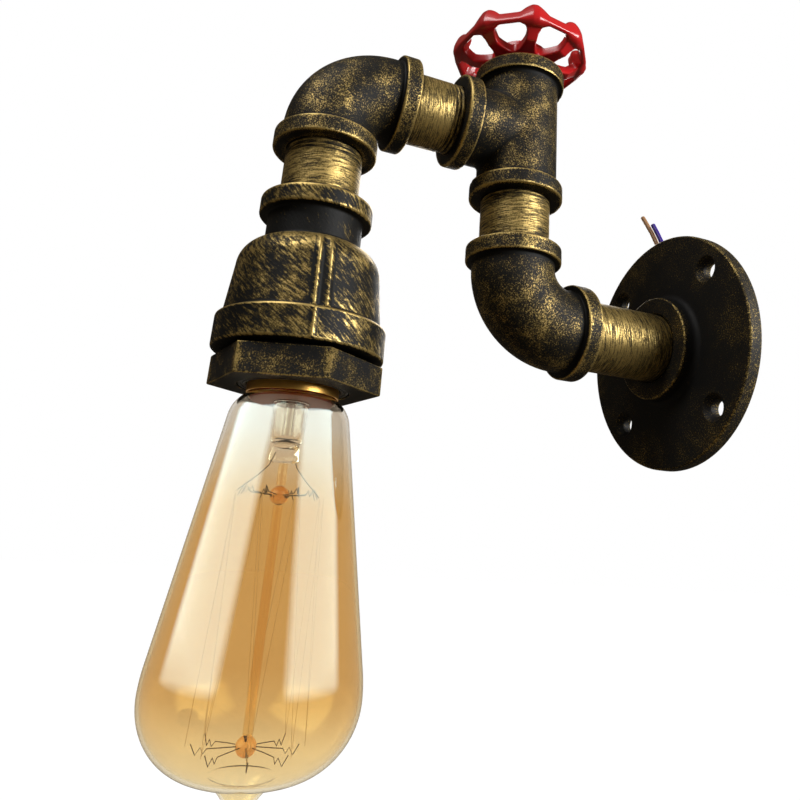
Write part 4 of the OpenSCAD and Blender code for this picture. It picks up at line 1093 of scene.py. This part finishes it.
class PIPELIGHT_OT_handwheel(bpy.types.Operator):
    """Makes the handwheel as one casting of leaning rim, lobes, dished spokes and hub"""

    bl_idname = "pipe_light.handwheel"
    bl_label = "Handwheel"

    # Angle over which a corner is blunt, swell of the rim at a lobe, and height of a spoke above the
    # hub's base
    BLUNT = 0.04
    SWELL = 0.4 * MM
    STEP = 0.4 * MM

    def execute(self, context):
        wheel = context.scene.pipe_light_wheel
        hub = turned(ring(0, wheel.hub_r, 0, wheel.hub_h), 96)
        body = cast(joined([self.rim(wheel), self.web(wheel), hub]), WHEEL_VOXEL)
        past = 2 * wheel.hub_h
        body = bored(body, turned(ring(0, wheel.bore_r, -past, past), 48))
        place = riser_axis(context.scene.pipe_light_pipes) @ Matrix.Translation((0, 0, wheel.base))
        moved(body, place @ Matrix.Rotation(wheel.turn, 4, "Z"))
        piece("wheel_casting", body, "red", "wheel", "handwheel")
        return {"FINISHED"}

    def rim(self, wheel):
        """Wall round a polygon that leans inwards and rises to a round lobe at each corner."""
        steps = 40 * wheel.lobes
        bm = bmesh.new()
        rings = [self.section(bm, wheel, math.tau * i / steps) for i in range(steps)]
        for here, after in zip(rings, rings[1:] + rings[:1]):
            for k in range(len(here)):
                bm.faces.new((here[k], here[k - 1], after[k - 1], after[k]))
        return bored(settle(bm), joined([self.pocket(wheel, i) for i in range(wheel.lobes)]))

    def section(self, bm, wheel, turn):
        """Ring of vertices round the wall's section at one bearing."""
        half = math.pi / wheel.lobes
        off = abs((turn + half) % (2 * half) - half)
        flat = half - max(off, self.BLUNT)
        lobe = math.cos(min(1.0, off / wheel.lobe_half) * math.pi / 2) ** 0.9
        outer = wheel.corner_r * math.cos(half) / math.cos(flat) + self.SWELL * lobe
        tall = wheel.rim_h + (wheel.lobe_h - wheel.rim_h) * lobe
        thick = wheel.rim_t + (wheel.lobe_t - wheel.rim_t) * lobe
        square = 0.5 + 0.3 * lobe
        verts = []
        for c, s in arc((0, 0), 1, 0, math.tau, 24)[:-1]:
            across = 0.5 * thick * (math.copysign(abs(c) ** square, c) - 1)
            along = 0.5 * tall * (math.copysign(abs(s) ** square, s) + 1)
            r = outer + across * math.cos(wheel.lean) - along * math.sin(wheel.lean)
            z = wheel.rim_low + along * math.cos(wheel.lean) + across * math.sin(wheel.lean)
            verts.append(bm.verts.new((r * math.cos(turn), r * math.sin(turn), z)))
        return verts

    def pocket(self, wheel, i):
        """Ball that hollows a lobe's inner side."""
        below_top = 2.6 * MM
        clear = 0.3 * MM
        tall = wheel.lobe_h - below_top
        r = wheel.corner_r - wheel.lobe_t - tall * math.sin(wheel.lean) - clear
        ball = bmesh.new()
        bmesh.ops.create_icosphere(ball, subdivisions=3, radius=wheel.pocket_r)
        turn = Matrix.Rotation(math.tau * i / wheel.lobes, 4, "Z")
        return moved(ball, turn @ Matrix.Translation((r, 0, wheel.rim_low + tall * math.cos(wheel.lean))))

    def web(self, wheel):
        """Dished web with an egg-shaped opening between each two spokes."""
        low = self.STEP
        top = low + wheel.spoke_t
        overlap = 2 * MM
        ease = 1 * MM
        root = wheel.hub_r - overlap
        end = wheel.corner_r * math.cos(math.pi / wheel.lobes) - 0.5 * wheel.rim_t
        level = end - wheel.climb
        upper_end = end - wheel.spoke_t * math.tan(wheel.lean)
        outline = [(root, low), (level, low), (end, wheel.rim_low + low),
                   (upper_end, wheel.rim_low + top), (level - ease, top), (root, top)]
        return bored(turned(outline), joined([self.opening(wheel, end, i) for i in range(wheel.lobes)]))

    def opening(self, wheel, end, i):
        """Upright plug whose outline is blunt at the rim and slim at the hub."""
        outwards = 0.4 * MM
        middle = 0.5 * (wheel.hub_r + end) + outwards
        reach = end - middle
        low = -5 * MM
        height = 25 * MM
        bm = bmesh.new()
        verts = []
        for c, s in arc((0, 0), 1, 0, math.tau, 48)[:-1]:
            wide = (0.85 + 0.40 * c) * reach
            verts.append(bm.verts.new((middle + reach * c, wide * math.copysign(abs(s) ** 0.85, s), low)))
        made = bmesh.ops.extrude_face_region(bm, geom=[bm.faces.new(verts)])["geom"]
        raised = [g for g in made if isinstance(g, bmesh.types.BMVert)]
        bmesh.ops.translate(bm, vec=(0, 0, height), verts=raised)
        return moved(settle(bm), Matrix.Rotation(math.tau * (i + 0.5) / wheel.lobes, 4, "Z"))


class PIPELIGHT_OT_glass(bpy.types.Operator):
    """Makes the bulb's glass with its sealed tip"""

    bl_idname = "pipe_light.glass"
    bl_label = "Glass"

    def execute(self, context):
        bulb = context.scene.pipe_light_bulb
        outer = self.side(bulb, 0)
        low = outer[-1][1]
        tip = self.tip(bulb, low)
        hollow = [p for p in self.inset(tip, bulb.wall) if p[0] > 0.2 * bulb.nib_r]
        shell = [p for p in outer if p[0] > bulb.tip_r]
        inner = [p for p in self.side(bulb, bulb.wall) if p[0] > hollow[0][0]] + hollow
        tip += [(0.7 * bulb.nib_r, low - 0.98 * bulb.tip), (0, low - bulb.tip)]
        collar = bulb.rim + 2 * MM
        outline = [(inner[0][0], collar), (bulb.collar_r, collar)] + shell + tip
        bm = turned(outline[::-1] + inner + [(0, inner[-1][1])], 160)
        moved(bm, drop_axis(context.scene.pipe_light_pipes))
        piece("bulb_envelope", bm, "amber", "bulb", "bulb_glass", smooth=60)
        return {"FINISHED"}

    def tip(self, bulb, low):
        """Outline of the sealed tip, which flows out of the dome."""
        steps = 32
        drop = 0.93 * bulb.tip
        curve = 1.6
        points = []
        for i in range(steps + 1):
            fall = i / steps
            r = bulb.tip_r + (bulb.nib_r - bulb.tip_r) * fall
            dome = bulb.dome_r - math.sqrt(bulb.dome_r ** 2 - r ** 2)
            points.append((r, low + dome - drop * fall ** curve))
        return points

    def inset(self, points, wall):
        """Points moved inwards by a wall, square to their line."""
        inside = []
        for before, (r, h), after in zip(points, points[1:], points[2:]):
            along = (Vector(after) - Vector(before)).normalized()
            inside.append((r + wall * along.y, h - wall * along.x))
        return inside

    def side(self, bulb, wall):
        """Outline from below the cap down to the axis, moved inwards by a wall."""
        belly = Vector((bulb.glass_r - bulb.belly_r, bulb.belly_z))
        corner = (bulb.glass_r - bulb.corner_r, bulb.belly_z)
        lean = Vector((math.cos(bulb.taper), math.sin(bulb.taper)))
        neck = belly + (bulb.belly_r - bulb.neck_r) * lean + bulb.side * Vector((-lean.y, lean.x))
        start = math.acos((bulb.collar_r - neck.x) / bulb.neck_r)
        to_dome = bulb.dome_r - bulb.corner_r
        drop = -math.acos(corner[0] / to_dome)
        dome_z = bulb.belly_z + math.sqrt(to_dome ** 2 - corner[0] ** 2)
        points = arc(neck, bulb.neck_r - wall, start, bulb.taper, 14)
        points += evenly(points[-1], belly + (bulb.belly_r - wall) * lean, GLASS_STEP)[1:]
        points += arc(belly, bulb.belly_r - wall, bulb.taper, 0, 10)[1:]
        points += arc(corner, bulb.corner_r - wall, 0, drop, 20)[1:]
        points += arc((0, dome_z), bulb.dome_r - wall, drop, -math.pi / 2, 56)[1:]
        return points


class PIPELIGHT_OT_cap(bpy.types.Operator):
    """Makes the bulb's brass cap"""

    bl_idname = "pipe_light.cap"
    bl_label = "Cap"

    def execute(self, context):
        bulb = context.scene.pipe_light_bulb
        steps_a_turn = 12
        thread_turns = 4
        wave = [math.cos(math.tau * i / steps_a_turn) for i in range(thread_turns * steps_a_turn + 1)]
        thread = drawn([(12.7 - 0.5 * crest, 4.2 + 0.3 * i) for i, crest in enumerate(wave)], bulb.rim)
        root_r = thread[0][0]
        mouth_r = 9.2 * MM
        top = thread[-1][1] + 1.5 * MM
        step = bulb.rim + 3 * MM
        inside = bulb.skirt_r - bulb.sheet
        outline = [(bulb.skirt_r, bulb.rim), (bulb.skirt_r, step), (root_r, step)] + thread
        outline += [(mouth_r, top), (mouth_r - bulb.sheet, top)]
        outline += [(r - bulb.sheet, h) for r, h in reversed(thread)]
        outline += [(root_r - bulb.sheet, step - bulb.sheet), (inside, step - bulb.sheet), (inside, bulb.rim)]
        bm = soften(turned(outline), SHEET_EDGE, segments=2)
        moved(bm, drop_axis(context.scene.pipe_light_pipes))
        piece("screw_cap", bm, "brass", "bulb", "cap_shell")
        return {"FINISHED"}


class PIPELIGHT_OT_mount(bpy.types.Operator):
    """Makes the stem, rod, buttons, wires and filament inside the bulb"""

    bl_idname = "pipe_light.mount"
    bl_label = "Mount"

    def execute(self, context):
        bulb = context.scene.pipe_light_bulb
        place = drop_axis(context.scene.pipe_light_pipes)
        self.stem(bulb, place)
        self.wires(bulb, place)
        return {"FINISHED"}

    def stem(self, bulb, place):
        """Flare, stem with its press, rod and buttons."""
        flare_z = bulb.rim - 1.2 * MM
        press_top = bulb.upper_z + 16 * MM
        press_end = bulb.upper_z + 9.5 * MM
        flare = drawn([(4.5, 2.7), (12.2, 2.7), (12.4, 1.2), (13.2, 0), (12.8, -0.5), (6.2, -0.6),
                       (4.5, -0.2)], flare_z)
        piece("stem_flare", moved(soften(turned(flare, 96), GLASS_EDGE, segments=2), place), "flare", "bulb")
        tube = drawn([(0, 0.4), (3.2, 0.6), (3.8, 1.4), (4.2, 4)], press_top)
        tube += drawn([(4.6, -0.8), (5.6, -0.8)], flare_z)
        tube += drawn([(5.2, 3), (4.9, 0), (4.4, -0.7), (0, -1)], press_top)
        exhaust = ring(1.1 * MM, 1.9 * MM, flare_z - 1 * MM, press_top + 1.6 * MM)
        pinch = self.press(press_top - 1.2 * MM, press_end)
        stem = joined([turned(tube, 64), turned(exhaust, 32), pinch])
        piece("stem_glass", moved(stem, place), "clear", "bulb", "glass_mount")
        spans = ((press_end - 0.2 * MM, bulb.upper_z + bulb.button_r),
                 (bulb.upper_z - bulb.button_r, bulb.lower_z + bulb.button_r))
        rods = joined([turned(ring(0, bulb.rod_r, *span), 32) for span in spans])
        piece("glass_rod", moved(rods, place), "rod", "bulb")
        buttons = joined([self.button(bulb, level) for level in (bulb.upper_z, bulb.lower_z)])
        piece("glass_buttons", moved(buttons, place), "button", "bulb")

    def press(self, top, end):
        """Flat pinch below the stem's tube."""
        levels = [(top, 4.0, 3.0), (top - 1.5 * MM, 4.6, 2.2), (top - 4 * MM, 5.0, 1.9),
                  (end + 0.6 * MM, 4.7, 1.9), (end, 3.6, 1.3)]
        stations = [Matrix.Translation((0, 0, z)) @ Matrix.Diagonal((wide * MM, thick * MM, 1, 1))
                    for z, wide, thick in levels]
        return moved(lofted(stations, 32), Matrix.Rotation(math.radians(60), 4, "Z"))

    def button(self, bulb, level):
        """Glass bead, slightly flat, that holds the wires."""
        ball = bmesh.new()
        bmesh.ops.create_uvsphere(ball, u_segments=32, v_segments=20, radius=bulb.button_r - 0.02 * MM)
        return moved(ball, Matrix.Translation((0, 0, level)) @ Matrix.Diagonal((1, 1, 0.98, 1)))

    def wires(self, bulb, place):
        """Support hooks, lead-in wires and the filament that hangs between the hooks."""
        pitch = math.tau / bulb.supports
        upper = [math.radians(15) + pitch * i for i in range(bulb.supports)]
        lower = [turn + 0.5 * pitch for turn in upper]
        # Bearings, level and mean length of each row, how uneven it is and in what beat, and the hooks' side
        rows = ((upper, bulb.upper_z, bulb.upper_reach, 1.0 * MM, 5.1, 1),
                (lower, bulb.lower_z, bulb.lower_reach, 1.2 * MM, 3.7, -1))
        hooks = []
        for turns, level, mean, uneven, beat, side in rows:
            for i, turn in enumerate(turns):
                reach = mean + uneven * math.sin(beat * i)
                hooks.append(self.hook(bulb, turn, level, reach, side, i))
        piece("support_hooks", moved(joined(hooks), place), "hook", "bulb", "support_wires")
        route = drawn([(3, 12.5), (4.6, 8.5), (8, 5), (13.5, 0.4)], bulb.upper_z)
        ends = (upper[bulb.supports // 4], upper[3 * bulb.supports // 4])
        leads = [self.wire([self.spot(turn, r, z) for r, z in route], bulb.wire_r) for turn in ends]
        piece("lead_in", moved(joined(leads), place), "hook", "bulb", "lead_in_wires")
        past = 1 * MM
        strand = []
        for high, low in zip(upper, lower):
            strand.append(self.spot(high, bulb.upper_reach + past, bulb.upper_z))
            strand.append(self.spot(low, bulb.lower_reach + past, bulb.lower_z))
        lengths = zip(strand, strand[1:] + strand[:1])
        thread = joined([self.wire(length, bulb.thread_r) for length in lengths])
        piece("filament_strand", moved(thread, place), "filament", "bulb", "filament")

    def spot(self, turn, reach, level):
        """Point at a bearing, a distance from the axis and a level."""
        return Vector((reach * math.cos(turn), reach * math.sin(turn), level))

    def hook(self, bulb, turn, level, reach, side, i):
        """Support wire: straight out of its button, then a small bent hook."""
        across = Vector((-math.sin(turn), math.cos(turn), 0))
        sway = 0.4 * MM * math.sin(2.3 * i + side)
        root = 2.2 * MM / reach
        shape = [(root, 0, 0), (0.45, 0.3, 0), (0.70, 0.6, 1), (0.76, 2.0, 2), (0.82, 0.4, 2), (0.90, 2.2, 1),
                 (1.0, -0.6, 0)]
        route = [self.spot(turn, share * reach, level + side * rise * MM) + skew * sway * across
                 for share, rise, skew in shape]
        return self.wire(route, bulb.wire_r)

    def wire(self, route, radius):
        """Round wire along a few points."""
        stations = []
        for k, point in enumerate(route):
            ahead = (route[min(k + 1, len(route) - 1)] - route[max(k - 1, 0)]).normalized()
            turn = ahead.to_track_quat("Z", "Y").to_matrix().to_4x4()
            stations.append(Matrix.Translation(point) @ turn @ Matrix.Diagonal((radius, radius, radius, 1)))
        return lofted(stations, 8)


class PIPELIGHT_OT_inside(bpy.types.Operator):
    """Gives the pieces inside the pipework their finishes"""

    bl_idname = "pipe_light.inside"
    bl_label = "Inside"

    def execute(self, context):
        for finish, nodes in PLAIN_NODES.items():
            for name in nodes:
                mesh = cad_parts[name].data
                mesh.materials.clear()
                mesh.materials.append(FINISHES[finish])
        return {"FINISHED"}


class PIPELIGHT_OT_sharing(bpy.types.Operator):
    """Gives the side softboxes to the bulb and the others to the rest"""

    bl_idname = "pipe_light.sharing"
    bl_label = "Light sharing"

    def execute(self, context):
        lit = self.group("bulb_lit")
        unlit = self.group("bulb_unlit")
        for member in unlit.collection_objects:
            member.light_linking.link_state = "EXCLUDE"
        for name in SOFTBOXES:
            linking = bpy.data.objects["softbox_" + name].light_linking
            linking.receiver_collection = lit if name in BULB_SOFTBOXES else unlit
        return {"FINISHED"}

    def group(self, name):
        """Collection of what is lit inside the bulb, with its glass."""
        made = bpy.data.collections.new(name)
        for piece_name in BULB_PIECES:
            made.objects.link(bpy.data.objects[piece_name])
        return made


GROUPS = {
    "pipe_light_pipes": PipeSizes,
    "pipe_light_flange": FlangeSizes,
    "pipe_light_head": HeadSizes,
    "pipe_light_wheel": WheelSizes,
    "pipe_light_bulb": BulbSizes,
    "pipe_light_tones": FinishTones,
    "pipe_light_studio": StudioSettings,
}
STEPS = ("stage", "finishes", "leads", "flange", "nipples", "elbows", "tee", "reducer", "bush", "switch",
         "handwheel", "glass", "cap", "mount", "inside", "sharing")


class PIPELIGHT_PT_panel(bpy.types.Panel):
    """Lists the steps and the sizes of the pipe light"""

    bl_idname = "PIPELIGHT_PT_panel"
    bl_label = "Pipe light"
    bl_space_type = "VIEW_3D"
    bl_region_type = "UI"
    bl_category = "Pipe light"

    def draw(self, context):
        for step in STEPS:
            self.layout.operator("pipe_light." + step)
        for group in GROUPS:
            owner = getattr(context.scene, group)
            box = self.layout.box()
            for name in owner.bl_rna.properties.keys():
                if name not in ("rna_type", "name"):
                    box.prop(owner, name)


CLASSES = (
    *GROUPS.values(), PIPELIGHT_OT_stage, PIPELIGHT_OT_finishes, PIPELIGHT_OT_leads, PIPELIGHT_OT_flange,
    PIPELIGHT_OT_nipples, PIPELIGHT_OT_elbows, PIPELIGHT_OT_tee, PIPELIGHT_OT_reducer, PIPELIGHT_OT_bush,
    PIPELIGHT_OT_switch, PIPELIGHT_OT_handwheel, PIPELIGHT_OT_glass, PIPELIGHT_OT_cap, PIPELIGHT_OT_mount,
    PIPELIGHT_OT_inside, PIPELIGHT_OT_sharing, PIPELIGHT_PT_panel,
)


def register():
    """Registers the classes and hangs the settings on the scene."""
    for cls in CLASSES:
        bpy.utils.register_class(cls)
    for name, group in GROUPS.items():
        setattr(bpy.types.Scene, name, PointerProperty(type=group))


def unregister():
    """Takes the settings and the classes away again."""
    for name in GROUPS:
        delattr(bpy.types.Scene, name)
    for cls in reversed(CLASSES):
        bpy.utils.unregister_class(cls)


def main():
    """Builds the light in order."""
    register()
    for step in STEPS:
        getattr(bpy.ops.pipe_light, step)()


if __name__ == "__main__":
    main()
